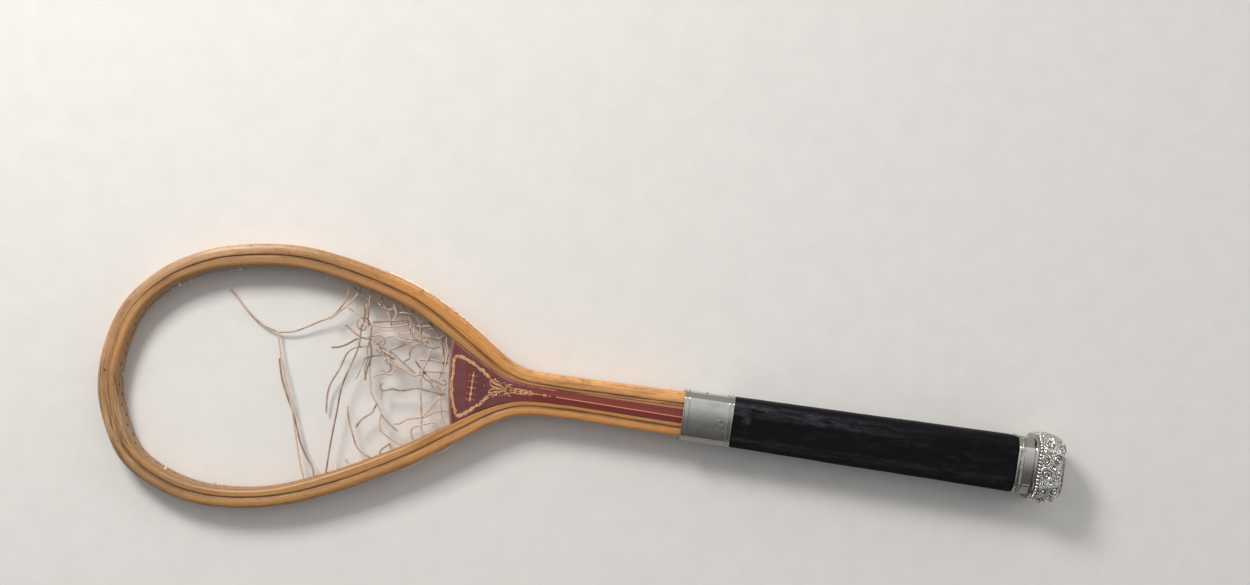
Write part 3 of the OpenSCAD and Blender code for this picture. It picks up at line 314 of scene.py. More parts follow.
        (-508.4, 34, 1.6), (-510, 31.6, 1.3), (-509.6, 28.9, 1), (-507.6, 27, 1), (-505, 26.4, 1),
        (-503.4, 28.4, 1), (-503.4, 31, 1.5)
    ]), Strand([
        (-506.8, 35.6, 1.4), (-504.4, 35.4, 2.9), (-502.3, 34.4, 3.1), (-501.3, 32.2, 2.4),
        (-501.3, 30.6, 1.6), (-501.6, 29.2, 1)
    ]), Strand([
        (-462.8, 22.4, 0), (-465.8, 21.7, 0), (-468.2, 19.8, 0), (-469.6, 17, 0),
        (-469.7, 13.6, 0), (-469.5, 11, 0.6), (-471.6, 9.5, 1.2), (-473.2, 7.6, 1.4)
    ]), Strand([
        (-452.4, -0.4, 0), (-449.6, -1.9, 0.2), (-446.6, -3.1, 0), (-443.6, -4, 0),
        (-441.6, -3.8, 0), (-441, -2.2, 0), (-442.5, -0.7, 0), (-444.6, -0.3, 0.2)
    ]), Strand([
        (-441, -5.6, 0), (-441.4, -7, -0.2), (-443.2, -7.8, -0.2)
    ]), Strand([
        (-494.6, 17, 1.4), (-492.6, 19.8, 1.4), (-490.2, 21.4, 1.2)
    ]), Strand([
        (-492.4, 16.8, -1.4), (-490.6, 14.6, -1.3), (-489.6, 12.8, -1.2), (-487.4, 11.4, -1.2),
        (-484.4, 10.7, -1.2), (-481.8, 9.2, -1.2), (-479.4, 9.6, -1.3)
    ]), Strand([
        (-484.4, 14.9, 1.4), (-481.2, 16.6, 1.3), (-478.4, 18.2, 1.1), (-475.4, 19.8, 0.7),
        (-472.6, 21.9, -0.1)
    ]), Strand([
        (-485.5, -14.4, -1.4), (-485.5, -18, -1.3), (-485.9, -21.4, -1.3)
    ]), Strand([
        (-453.2, -34.2, 0.2), (-449.4, -32.7, 0.2), (-446.4, -31.7, 0.2), (-443.2, -32, 0.2)
    ]), Strand([
        (-465.6, 10.6, -0.1), (-463.8, 8.6, 0), (-461.8, 6.4, 0.1), (-459.8, 4.8, 0.2)
    ]), Strand([
        (-480, -56.6, 1.2), (-478.4, -54.6, 0.9), (-475.6, -52, 0.7), (-473.4, -50.4, 0.6)
    ], start=(-479, -59))],
}

# Short ends: a point near their hole, and how far they stand out of it, in millimetres
STUBS = [
    (-655, 25, 2.4), (-645, 36, 3), (-640, 40, 2), (-633, 44, 2.6), (-605, 56, 2.2),
    (-598, 57, 1.6), (-536, 61, 2.6), (-465.6, 43, 2.4), (-451, 36, 1.2), (-509, -75, 4.5),
    (-502, -71, 6), (-494.6, -67.5, 3), (-472.7, -55, 3.6), (-444, -38, 2.4), (-671, -30, 1.6),
    (-630, -92, 1.8), (-593, -98.8, 1.4)
]

# Single plies that came off the strands and lie across them
PLIES = [
    [(-492, 21.6, 0.6), (-489.1, 21.6, 0.9), (-488.1, 19.7, 0.6), (-490.1, 16.5, -0.4),
     (-489.2, 12.3, -0.9), (-486.1, 8.5, 0.2), (-484.6, 5.5, 0.9)],
    [(-486, 15, 0.5), (-482.6, 11.2, 0.9), (-482.9, 8.3, -0.3), (-479.8, 6.6, -0.6),
     (-476, 5, 0.6), (-472.7, 2.6, 0.9)],
    [(-472.6, 34.1, 0.9), (-471.6, 30.7, 0.8), (-469.8, 27.4, 0), (-466.8, 25.3, 0.6)],
    [(-448.1, -4.5, 0.4), (-444.9, -6.9, 0.9), (-442.3, -9.7, 0.2)],
    [(-500.6, 6.6, 0.4), (-502, 1.6, -0.3), (-503.4, -4, 0), (-505, -9.6, 0.8)],
    [(-499.2, 20, 0.9), (-500.2, 13, 0.6), (-498.6, 7, 1.1), (-500, 0, 0.9), (-499, -6, 1)],
    [(-495, 29.4, 0.5), (-489.5, 28.4, 0.3), (-484, 28.9, -0.7), (-478, 27.6, -0.6),
     (-472.6, 28.2, 0.5)],
    [(-478.6, 43.6, -0.8), (-476.6, 40.2, -0.3), (-474.2, 36.6, 0.6), (-472.8, 33.4, 0.2),
     (-470, 29.2, 0.4)],
    [(-464.4, 39, 0.8), (-465.4, 36, 0.9), (-463.4, 31.6, 0.6), (-464.4, 27.2, 0.9),
     (-461.6, 23.4, 0.6)],
    [(-458.6, 33.9, 0.9), (-454.8, 34.2, 0.6), (-451.6, 32.4, 0.6), (-447.4, 31.2, 0.8)],
    [(-470.4, 24.6, -0.6), (-466.4, 25.2, 0), (-462, 24.3, 0.7), (-457.6, 25.6, 0.3),
     (-453.6, 24.4, -0.3)],
    [(-468.2, 31.2, 0.7), (-465, 29.8, 0.6), (-461.4, 29.9, 0.8), (-458.4, 28.5, 0.6)],
    [(-452.8, 33, 0.6), (-450.2, 27.6, 0.8), (-447.4, 22.4, 0.6), (-446, 16.4, -0.6)],
    [(-444.2, 27, 0.9), (-442.6, 21.8, 0.9), (-442.4, 16, 0.8), (-443.6, 10.4, 0.7)],
    [(-488.6, 1, 0.5), (-484.6, -1.6, 0.7), (-481.6, 0.8, 0.3), (-482.6, 5, 0.7),
     (-486, 6.8, 0.7)],
    [(-494.6, 14.4, 0), (-491.2, 12, -0.5), (-487.6, 12.6, -0.4), (-484.4, 9.8, 0.4)],
    [(-509.6, 51.4, 0.5), (-507.4, 45, -0.3), (-505.8, 39.4, -0.6), (-506.4, 33, -0.6)],
    [(-459.6, 2.6, 0.6), (-456.4, -1.6, 0.9), (-452.6, -3.6, -0.5), (-449.6, -7.2, -0.7)],
    [(-515, 54.6, 0.8), (-511, 52.6, 1), (-508.4, 49.4, 0.6), (-503.6, 47.4, 1.1)],
    [(-497.6, 47.6, 0.4), (-494, 43.8, -0.6), (-489, 43, 0.4), (-485.2, 46, 1.2)]
]

# Gut against the bow's outer wall: from and to along the bow in millimetres, and heights
OUTER_RUNS = {
    "gut_outer_run_upper": [(122, 156, 4.4, -1), (99, 114, 3.6, 5), (55, 97, 1.6, 4.6)],
    "gut_outer_run_lower": [(-130, -112, 2.4, 4), (-100, -89, 3, 0.6)],
}

# Gilding: the corners of the three-sided border on the wedge
BORDER = [
    (-434.6, 18.2), (-429.5, 17.4), (-424.5, 15.6), (-419.5, 12.8), (-415, 10), (-411.2, 7.4)
]
BORDER_FRONT = [
    (-436.8, 15.6), (-436.2, 8), (-436, 0), (-435, -8), (-433, -15), (-430.4, -21.4)
]
BORDER_LOWER = [
    (-427.4, -24), (-423, -20.4), (-418.4, -16.4), (-413.4, -12.2), (-410.4, -8)
]


# Sizes and colours


class RacketSizes(bpy.types.PropertyGroup):
    groove_width: FloatProperty(
        name="Groove width", description="Width of the scribed groove in the bow",
        default=2.2 * MM, unit="LENGTH")
    groove_depth: FloatProperty(
        name="Groove depth", description="Depth of the scribed groove in the bow",
        default=0.75 * MM, unit="LENGTH")
    edge_round: FloatProperty(
        name="Edge round", description="Rounding of the bow's outer edges",
        default=3.4 * MM, unit="LENGTH")
    hole: FloatProperty(
        name="String hole", description="Diameter of a string hole",
        default=2.2 * MM, unit="LENGTH")
    hole_pitch: FloatProperty(
        name="Hole pitch", description="Distance between string holes along the bow",
        default=8.6 * MM, unit="LENGTH")
    gut: FloatProperty(
        name="Gut", description="Diameter of the gut", default=1.3 * MM, unit="LENGTH")
    gut_lay: FloatProperty(
        name="Gut lay", description="Length of one turn of the gut's twist",
        default=3.4 * MM, unit="LENGTH")
    gilt_width: FloatProperty(
        name="Gilt stroke", description="Width of a full gilt stroke", default=1 * MM,
        unit="LENGTH")
    gilt_height: FloatProperty(
        name="Gilt height", description="Height of the gilding above the lacquer",
        default=0.07 * MM, unit="LENGTH")
    pile_wave: FloatProperty(
        name="Pile unevenness", description="How uneven the velvet's pile is",
        default=0.16 * MM, unit="LENGTH")
    relief: FloatProperty(
        name="Relief", description="Height of the chased scrolls on the cap",
        default=0.85 * MM, unit="LENGTH")
    mills: IntProperty(
        name="Milling", description="Ridges round the milled band", default=104, min=12)


def hue(name, description, red, green, blue):
    """A colour property whose default is given in screen values from 0 to 255."""
    screen = np.array([red, green, blue]) / 255
    linear = np.where(screen <= 0.04045, screen / 12.92, ((screen + 0.055) / 1.055) ** 2.4)
    return FloatVectorProperty(
        name=name, description=description, subtype="COLOR", size=3, min=0, max=1,
        default=tuple(float(v) for v in linear))


class RacketColours(bpy.types.PropertyGroup):
    ash: hue("Ash", "Golden varnished ash", 218, 149, 72)
    ash_grain: hue("Ash grain", "Grain lines of the ash", 144, 90, 36)
    ash_old: hue("Old ash", "Greyer and browner ash round the head", 172, 128, 72)
    ash_wall: hue("Pale edge", "Bare edges along the filler strip", 196, 142, 88)
    # Painted shade on the bow's inner side
    ash_shade: hue("Shaded ash", "Darker inner side of the bow", 152, 106, 58)
    # Groove colour: dirt and painted shade along the groove, also used for the pores and rubbed
    # edges
    groove: hue("Groove", "Dirt and stain in the groove", 88, 50, 18)
    lacquer: hue("Lacquer", "Dark red lacquer of the wedge", 116, 48, 46)
    lacquer_faded: hue("Faded lacquer", "Where the lacquer has gone purple", 116, 64, 68)
    # Worn wood: wear on the wedge, and the painted highlight along its front edge
    worn_wood_and_highlight: hue("Worn wood", "Worn front edge of the wedge", 148, 102, 86)
    filler: hue("Filler", "Red stain of the filler strip", 112, 28, 18)
    filler_grey: hue("Filler, upper", "Browner side of the filler strip", 134, 54, 42)
    line: hue("Line", "Thin pale lines on the shaft", 214, 134, 102)
    gilt: hue("Gilt", "Worn gilding", 226, 178, 122)
    bare_wood: hue("Bare wood", "Wood inside the handle", 168, 128, 84)
    silver: hue("Silver", "Silver where it is clean", 232, 230, 222)
    # Tarnish: silver in the hollows, and the painted shade on the plain bands
    tarnish: hue("Tarnish", "Silver in the hollows", 62, 59, 53)
    velvet: hue("Velvet", "Velvet looked into", 6, 6, 8)
    # Velvet nap: brushed or worn velvet, and the painted sheen along the corners
    velvet_nap_and_sheen: hue("Velvet nap", "Brushed or worn velvet", 76, 76, 84)
    gut: hue("Gut", "Clean gut", 226, 192, 168)
    gut_old: hue("Old gut", "Brown and greasy gut", 150, 122, 98)
    gut_fray: hue("Frayed gut", "Broken ends of the gut", 246, 230, 214)
    floor: hue("Floor", "Pale floor", 232, 229, 224)


# Shapes as functions of two parameters


def spline(points, per):
    """Smooth curve with per steps a span: a cubic whose slope at each point is half the step
    between that point's neighbours."""
    p = np.asarray(points, float)
    q = np.vstack([2 * p[0] - p[1], p, 2 * p[-1] - p[-2]])
    a, b, c, d = (v[:, None] for v in (q[:-3], q[1:-2], q[2:-1], q[3:]))
    t = (np.arange(per) / per)[None, :, None]
    curve = (2 * b + (c - a) * t + (2 * a - 5 * b + 4 * c - d) * t**2
             + (3 * b - a - 3 * c + d) * t**3) / 2
    return np.vstack([curve.reshape(-1, p.shape[1]), p[-1:]])


def run_length(path):
    """Distance along a path at each of its points."""
    steps = np.linalg.norm(np.diff(path, axis=0), axis=1)
    return np.concatenate([[0], np.cumsum(steps)])


def spaced(path, step):
    """The path again with its points evenly spaced, about step apart."""
    along = run_length(path)
    count = max(int(round(along[-1] / step)), 3)
    even = np.linspace(0, along[-1], count + 1)
    return np.stack([np.interp(even, along, path[:, k]) for k in range(path.shape[1])], 1)


def unit(v):
    """Vectors scaled to length 1."""
    return v / np.maximum(np.linalg.norm(v, axis=-1, keepdims=True), 1e-12)


def direction(path):
    """Direction of travel at each point: from its last neighbour to its next."""
    ahead = np.vstack([path[1:], path[-1:]])
    behind = np.vstack([path[:1], path[:-1]])
    return unit(ahead - behind)


def waves(u, v, seed, count=9, low=0.5, high=2.0):
    """Smooth unevenness between about -1 and 1: a sum of sine waves with random directions,
    lengths and phases. u and v are in turns at frequency 1."""
    rng = np.random.default_rng(seed)
    total = np.zeros(np.broadcast(u, v).shape)
    for _ in range(count):
        turn, rate, phase = rng.uniform(0, 2 * pi), rng.uniform(low, high), rng.uniform(0, 2 * pi)
        total = total + np.sin(2 * pi * rate * (np.cos(turn) * u + np.sin(turn) * v) + phase)
    return total / np.sqrt(count * 2)


class Surface:
    """Gathers numpy grids of points into one mesh, with UV maps that follow the surface. Each
    closed form in it is turned so that its faces point outwards."""

    def __init__(self, *maps):
        self.maps = maps
        self.points, self.faces, self.corners = [], [], []
        self.count = self.open_from = 0

    def add(self, points, faces, corners):
        """Takes points (n, 3) in working millimetres, faces (m, 3 or 4) and, for each map, its
        values at the faces' corners (m, 3 or 4, 2)."""
        self.points.append(place(points))
        self.faces.append(np.asarray(faces) + self.count)
        self.corners.append(corners)
        self.count += len(points)

    def grid(self, points, maps=(), wrap=(False, True), ends=False):
        """Quads over a grid of points, wrapped round along either side. maps are grids with one
        more row or column where the grid wraps. ends closes the first and last row by a fan."""
        points = np.asarray(points, float)
        rows, cols = points.shape[:2]
        i = np.arange(rows if wrap[0] else rows - 1)[:, None]
        j = np.arange(cols if wrap[1] else cols - 1)[None, :]
        i, j = (v.ravel() for v in np.broadcast_arrays(i, j))
        corner = [(i, j), (i, j + 1), (i + 1, j + 1), (i + 1, j)]
        first = self.count
        size = (rows + wrap[0], cols + wrap[1], 2)
        maps = [np.broadcast_to(m, size) for m in maps] or [np.zeros(size)] * len(self.maps)
        self.add(points.reshape(-1, 3),
                 np.stack([(a % rows) * cols + b % cols for a, b in corner], 1),
                 [np.stack([m[a, b] for a, b in corner], 1) for m in maps])
        if ends:
            self.fan(points[0], [m[0] for m in maps], first, False)
            self.fan(points[-1], [m[-1] for m in maps], first + (rows - 1) * cols, True)
        if ends or all(wrap):
            self.close()

    def fan(self, loop, maps, first, turned):
        """Triangles from a closed loop, whose points are already there from first on, to its
        middle."""
        n = len(loop)
        k = np.arange(n)
        faces = np.stack([np.full(n, self.count), first + (k + 1) % n, first + k], 1)
        corners = [np.stack([np.broadcast_to(m[:n].mean(0), (n, 2)), m[(k + 1) % len(m)], m[k]],
                            1) for m in maps]
        if turned:
            faces, corners = faces[:, ::-1], [c[:, ::-1] for c in corners]
        self.add(loop.mean(0)[None], faces - self.count, corners)

    def close(self):
        """Ends a closed form: turns it inside out where its volume, the sum over its triangles
        of a corner's product with the next two, is negative."""
        points = np.vstack(self.points)
        points = points - points[-1]
        total = 0.0
        for face in self.faces[self.open_from:]:
            for k in range(1, face.shape[1] - 1):
                a, b, c = points[face[:, 0]], points[face[:, k]], points[face[:, k + 1]]
                total += np.einsum("ij,ij->i", a, np.cross(b, c)).sum()
        for k in range(self.open_from, len(self.faces)):
            if total < 0:
                self.faces[k] = self.faces[k][:, ::-1]
                self.corners[k] = [c[:, ::-1] for c in self.corners[k]]
        self.open_from = len(self.faces)

    def object(self, name):
        """The mesh object of all that was added."""
        mesh = bpy.data.meshes.new(name)
        mesh.vertices.add(self.count)
        mesh.vertices.foreach_set("co", np.vstack(self.points).astype(np.float32).ravel())
        sizes = np.concatenate([np.full(len(f), f.shape[1]) for f in self.faces])
        mesh.loops.add(int(sizes.sum()))
        mesh.loops.foreach_set("vertex_index",
                               np.concatenate([f.ravel() for f in self.faces]))
        mesh.polygons.add(len(sizes))
        mesh.polygons.foreach_set("loop_start", np.concatenate([[0], np.cumsum(sizes)[:-1]]))
        for index, title in enumerate(self.maps):
            layer = mesh.uv_layers.new(name=title)
            flat = np.concatenate([c[index].reshape(-1, 2) for c in self.corners])
            layer.data.foreach_set("uv", flat.astype(np.float32).ravel())
        mesh.update(calc_edges=True)
        if mesh.validate():
            raise RuntimeError(f"{name} has faulty faces")
        piece = bpy.data.objects.new(name, mesh)
        bpy.context.collection.objects.link(piece)
        return piece


def finish_piece(piece, finish, nodes=(), sharp=40):
    """Gives a piece its finish, smooth shading, body and slot, and hides the CAD nodes it
    stands for."""
    mesh = piece.data
    mesh.materials.clear()
    mesh.materials.append(finish_for(finish))
    mesh.polygons.foreach_set("use_smooth", np.ones(len(mesh.polygons), bool))
    mesh.set_sharp_from_angle(angle=radians(sharp))
    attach(piece, "root")
    if nodes:
        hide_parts(*nodes)


def tube(surface, path, radius, sides, maps=()):
    """A closed tube: rings of radius (a number, or an array of one row a ring and one column a
    side) square to the path, each turned so that its first side lies level."""
    forward = direction(path)
    side = unit(np.cross([0, 0, 1.0], forward))
    up = np.cross(forward, side)
    angle = (2 * pi * np.arange(sides) / sides)[None, :, None]
    radius = np.broadcast_to(radius, (len(path), sides))[..., None]
    ring = side[:, None] * np.cos(angle) + up[:, None] * np.sin(angle)
    surface.grid(path[:, None] + ring * radius, maps, ends=True)


# Bow


def bow_stations(steps):
    """x, y and width along the bow's outer edge: two straight limbs and the smooth head."""
    neck = np.linspace(WOOD_END, COLLAR_FRONT, NECK_STEPS)
    upper = np.stack([neck, 0 * neck + NECK_Y, 0 * neck + LIMB_W], 1)
    lower = upper[::-1] * [1, -1, 1]
    return np.vstack([upper, spline(BENDS, steps) + [HEAD_SHIFT, 0, 0], lower])


def inward(stations):
    """Normal of the outer edge towards the inside of the bow: its direction turned by 90."""
    t = direction(stations[:, :2])
    return np.stack([-t[:, 1], t[:, 0]], 1)


class Edge:
    """The bow's outer edge as the CAD steps it, looked up by the distance along it."""

    def __init__(self):
        self.stations = bow_stations(CAD_STEPS)
        self.normals = inward(self.stations)
        self.along = run_length(self.stations[:, :2])
        self.start, self.end = self.along[NECK_STEPS], self.along[-NECK_STEPS - 1]

    def at(self, s, u, z):
        """Point at distance s along the edge, depth u from it and height z."""
        rows = np.hstack([self.stations, self.normals])
        x, y, _, nx, ny = (np.interp(s, self.along, rows[:, k]) for k in range(5))
        n = unit(np.stack([nx, ny], -1))
        return np.stack([x + n[..., 0] * u, y + n[..., 1] * u, z + 0 * x], -1)

    def width(self, s):
        """Width of the bow at distance s along the edge."""
        return np.interp(s, self.along, self.stations[:, 2])

    def along_at(self, x, y):
        """Distance along the edge of its station nearest a point."""
        return self.along[np.argmin(np.hypot(self.stations[:, 0] - x, self.stations[:, 1] - y))]

    def holes(self, pitch):
        """Distance along the edge and height of each string hole."""
        s = np.arange(self.start + FIRST_HOLE, self.end - LAST_HOLE + 1e-9, pitch)
        return s, np.where(np.arange(len(s)) % 2 == 0, STAGGER, -STAGGER)


EDGE = Edge()


def bow_section(sizes):
    """Half of the bow's section, from the middle of its outer wall over the face to the middle of
    its inner wall. A row is a, b, c, d, z, e and g: the depth from the outer edge is
    a + b * width + c * groove place + d * inner round, and the height is
    z + e * inner round - g * groove depth."""
    h, r = HALF_DEPTH, sizes.edge_round / MM
    k = sizes.groove_width / MM / 2
    low, drop = h - 0.04, 0.12
    rows = [(0, 0, 0, 0, z, 0, 0) for z in np.linspace(0, h - r, 5)]
    rows += [(r + r * np.cos(t), 0, 0, 0, h - r + r * np.sin(t), 0, 0)
             for t in np.linspace(pi, pi / 2, 10)[1:]]
    rows += [(r * (1 - f) - k * f, 0, f, 0, h - 0.3 * f**2, 0, 0) for f in (0.2, 0.4, 0.6, 0.8)]
    rows += [(o * k, 0, 1, 0, h - 0.3 + 0.13 * (o + 1), -drop * (o + 1) / 2,
              0.5 + 0.5 * np.cos(pi * o)) for o in np.linspace(-1, 1, 11)]
    rows += [(k * (1 - f), f, 1 - f, -f, low, -drop, 0) for f in (0.33, 0.66, 1)]
    rows += [(0, 1, 0, np.cos(t) - 1, low, np.sin(t) - 1 - drop, 0)
             for t in np.linspace(pi / 2, 0, 9)[1:]]
    rows += [(0, 1, 0, 0, low * f, -(1 + drop) * f, 0) for f in (0.75, 0.5, 0.25, 0)]
    return np.array(rows, float)


def groove_share(s):
    """Share of the groove's depth that is left: it has worn shallow round the crown."""
    crown = EDGE.along_at(*CROWN)
    return np.interp(s, [crown - 95, crown - 40, crown + 25, crown + 85], [1, 0.3, 0.3, 1])


def groove_place(s):
    """Depth of the groove from the outer edge: it wanders a little along the bow."""
    a, b = EDGE.start, EDGE.end
    return np.interp(s, [a, a + 50, a + 82, a + 130, (a + b) / 2, b - 150, b - 60, b],
                     [8.2, 8.3, 9.6, 8.4, 7.7, 7.4, 6.8, 6.6])


def inner_round(s):
    """Radius of the bow's inner edges: full round the head, small where the wedge adjoins."""
    a, b = EDGE.start, EDGE.end
    return np.interp(s, [a, a + 94, a + 126, b - 120, b - 88, b], [0.7, 0.7, 3.3, 3.3, 0.7, 0.7])


def bow_surface(sizes):
    """The bow: its section carried along its outer edge, with slight unevenness of handwork."""
    stations = bow_stations(FINE_STEPS)
    normal = inward(stations)
    along = run_length(stations[:, :2])
    half = bow_section(sizes)
    turned = (half[1:-1] * [1, 1, 1, 1, -1, -1, -1])[::-1]
    a, b, c, d, z, e, g = np.vstack([half, turned]).T
    width = stations[:, 2:3] + 0.12 * waves(along[:, None] / 60, 0, 3)
    groove, bend = groove_place(along)[:, None], inner_round(along)[:, None]
    depth = a + b * width + c * groove + d * bend
    z = z + e * bend - g * groove_share(along)[:, None] * sizes.groove_depth / MM
    depth = depth + 0.1 * waves(along[:, None] / 45, z / 20, 8)
    x = stations[:, 0:1] + normal[:, 0:1] * depth
    y = stations[:, 1:2] + normal[:, 1:2] * depth
    wrapped = np.hstack([depth, depth[:, :1]]) * MM
    grain = np.stack([np.broadcast_to(along[:, None] * MM, wrapped.shape), wrapped], -1)
    edge = np.stack([groove * MM - wrapped, width * MM - wrapped], -1)
    surface = Surface("grain", "edge")
    surface.grid(np.stack([x, y, z], -1), (grain, edge), ends=True)
    return surface


def hole_cutters(sizes):
    """One spindle a string hole, flared where it comes out of the bow's walls."""
    s, z = EDGE.holes(sizes.hole_pitch / MM)
    angle = 2 * pi * np.arange(14) / 14
    flare = np.array([1.75, 1.35, 1, 1, 1.35, 1.75]) * sizes.hole / MM / 2
    surface = Surface("grain", "edge")
    for hole_s, hole_z, w in zip(s, z, EDGE.width(s)):
        depth = np.array([-1.5, 0, 0.7, w - 0.7, w, w + 1.5])
        foot = EDGE.at(hole_s, 0, hole_z)
        n = EDGE.at(hole_s, 1, hole_z) - foot
        across = np.array([-n[1], n[0], 0])
        ring = across * np.cos(angle)[:, None] + np.array([0, 0, 1]) * np.sin(angle)[:, None]
        surface.grid(foot + depth[:, None, None] * n + ring[None] * flare[:, None, None],
                     ends=True)
    return surface


def drill(piece, cutter):
    """Takes the cutter's shape out of the piece and deletes the cutter."""
    cut = piece.modifiers.new("Holes", "BOOLEAN")
    cut.object, cut.operation, cut.solver = cutter, "DIFFERENCE", "EXACT"
    graph = bpy.context.evaluated_depsgraph_get()
    mesh = bpy.data.meshes.new_from_object(piece.evaluated_get(graph))
    piece.modifiers.clear()
    piece.data = mesh
    bpy.data.objects.remove(cutter)


# Wedge


def inner_edge(side):
    """x and y along the bow's inner edge on the upper (1) or lower (-1) limb, from the flare
    towards the head."""
    stations = bow_stations(FINE_STEPS)
    inner = stations[:, :2] + inward(stations) * (stations[:, 2:3] + 0.03)
    half = len(inner) // 2
    part = inner[NECK_STEPS:half] if side > 0 else inner[half:-NECK_STEPS][::-1]
    part = part[: np.argmin(part[:, 0])]
    return part[::-1]


def front_edge(y):
    """The wedge's hollow front edge: square with the face above, drawn back below."""
    return FLARE - 90.3 + 7.3 * np.maximum((28 - y) / 60, 0)**2


def wedge_surface():
    """The wedge: a slab between the limbs. One parameter runs round its side view, which is
    rounded at the front edge, the other from the lower limb to the upper one."""
    z0, x1 = reach("throat_wedge", 2)[1], reach("throat_wedge")[1]
    r = 1.3
    turn = np.linspace(pi / 2, pi, 7)
    back = np.concatenate([np.linspace(1, 0, 41)[:-1] ** 1.2, np.zeros(7)])
    ahead = np.concatenate([np.full(40, r), r + r * np.cos(turn)])
    z = np.concatenate([np.full(40, z0), z0 - r + r * np.sin(turn)])
    back, ahead = (np.concatenate([v, v[::-1]])[:, None] for v in (back, ahead))
    z = np.concatenate([z, -z[::-1]])[:, None]
    v = np.linspace(0, 1, 41)[None, :]
    upper, lower = inner_edge(1), inner_edge(-1)
    y = -32 + 60 * v + 0 * ahead
    for _ in range(6):
        x = front_edge(y) + ahead
        x = x + (x1 - x) * back
        top, bottom = (np.interp(x, side[:, 0], side[:, 1]) for side in (upper, lower))
        y = bottom + (top - bottom) * v
    level = z - 0.05 * np.sign(z) * (waves(x / 16, y / 16, 21) + 1) / 2
    points = np.stack([x, y, level], -1)
    maps = np.stack([x - front_edge(y), y], -1) * MM
    sides = np.stack([top - y, y - bottom], -1) * MM
    surface = Surface("front", "sides")
    first = surface.count
    surface.grid(points, (np.concatenate([maps, maps[:1]]), np.concatenate([sides, sides[:1]])),
                 wrap=(True, False))
    rows, cols = points.shape[:2]
    k = np.arange(rows // 2 - 1)
    rim = np.stack([k, k + 1, rows - 2 - k, rows - 1 - k], 1)
    for column, turned in ((0, False), (cols - 1, True)):
        faces = rim[:, ::-1] if turned else rim
        surface.add(np.zeros((0, 3)), first + faces * cols + column - surface.count,
                    [maps[:, column][faces], sides[:, column][faces]])
    surface.close()
    return surface


# Gilding


def half_round(surface, path, width, height, z):
    """A low half-round strip along a path on the face: its section is half a wave, thin at both
    ends of the path."""
    path = np.hstack([path, np.full((len(path), 1), z)])
    forward = direction(path)
    side = unit(np.cross([0, 0, 1.0], forward))
    across = np.array([-1, -0.55, 0, 0.55, 1]) / 2
    lift = np.cos(pi * across) * height
    taper = np.sqrt(np.clip(np.sin(pi * np.linspace(0.04, 0.96, len(path))), 0, 1))[:, None]
    points = path[:, None] + side[:, None] * (across * width * taper)[..., None]
    points[..., 2] += lift * taper
    below = points.copy()[:, ::-1]
    below[..., 2] = z - 0.03
    surface.grid(np.concatenate([points, below], 1), ends=True)


def scroll(centre, radius, start, turns, shrink=0.25, count=14):
    """A spiral: its radius falls evenly to shrink of itself over the turns, which are negative
    for a clockwise one."""
    t = np.linspace(0, 1, count)
    angle = start + 2 * pi * turns * t
    r = radius * (1 - (1 - shrink) * t)
    return np.stack([centre[0] + r * np.cos(angle), centre[1] + r * np.sin(angle)], 1)


def leaf(foot, angle, length, bow=0.25, count=7):
    """A curved leaf stroke from its foot, bent to one side by a share of its length."""
    t = np.linspace(0, 1, count)
    x, y = t * length, bow * length * np.sin(pi * t * 0.5) ** 2
    c, s = np.cos(angle), np.sin(angle)
    return np.stack([foot[0] + c * x - s * y, foot[1] + s * x + c * y], 1)


def border_strokes(corners, step):
    """A leafy border: a thin stem along the path with pairs of leaves that lean forward on both
    sides, a little unlike each other, and a dot between the pairs."""
    path = spaced(spline(corners, 8), step)
    forward = direction(path)
    rng = np.random.default_rng(len(path))
    strokes, dots = [(spline(corners, 8), 0.7)], []
    for p, f in zip(path, forward):
        angle = np.arctan2(f[1], f[0])
        for side in (1, -1):
            long = rng.uniform(1.9, 2.9)
            strokes.append((leaf(p - f * 0.8, angle + side * rng.uniform(0.5, 0.95), long,
                                 -side * 0.35), rng.uniform(1.1, 1.6)))
        dots.append((*(p + f * 0.9 + rng.normal(0, 0.2, 2)), rng.uniform(0.5, 0.75)))
    return strokes, dots


def rosette(x, y, r):
    """Five short leaves round a middle."""
    return [(leaf((x, y), 2 * pi * k / 5 + x, r, 0.2, 5), r * 0.62) for k in range(5)]


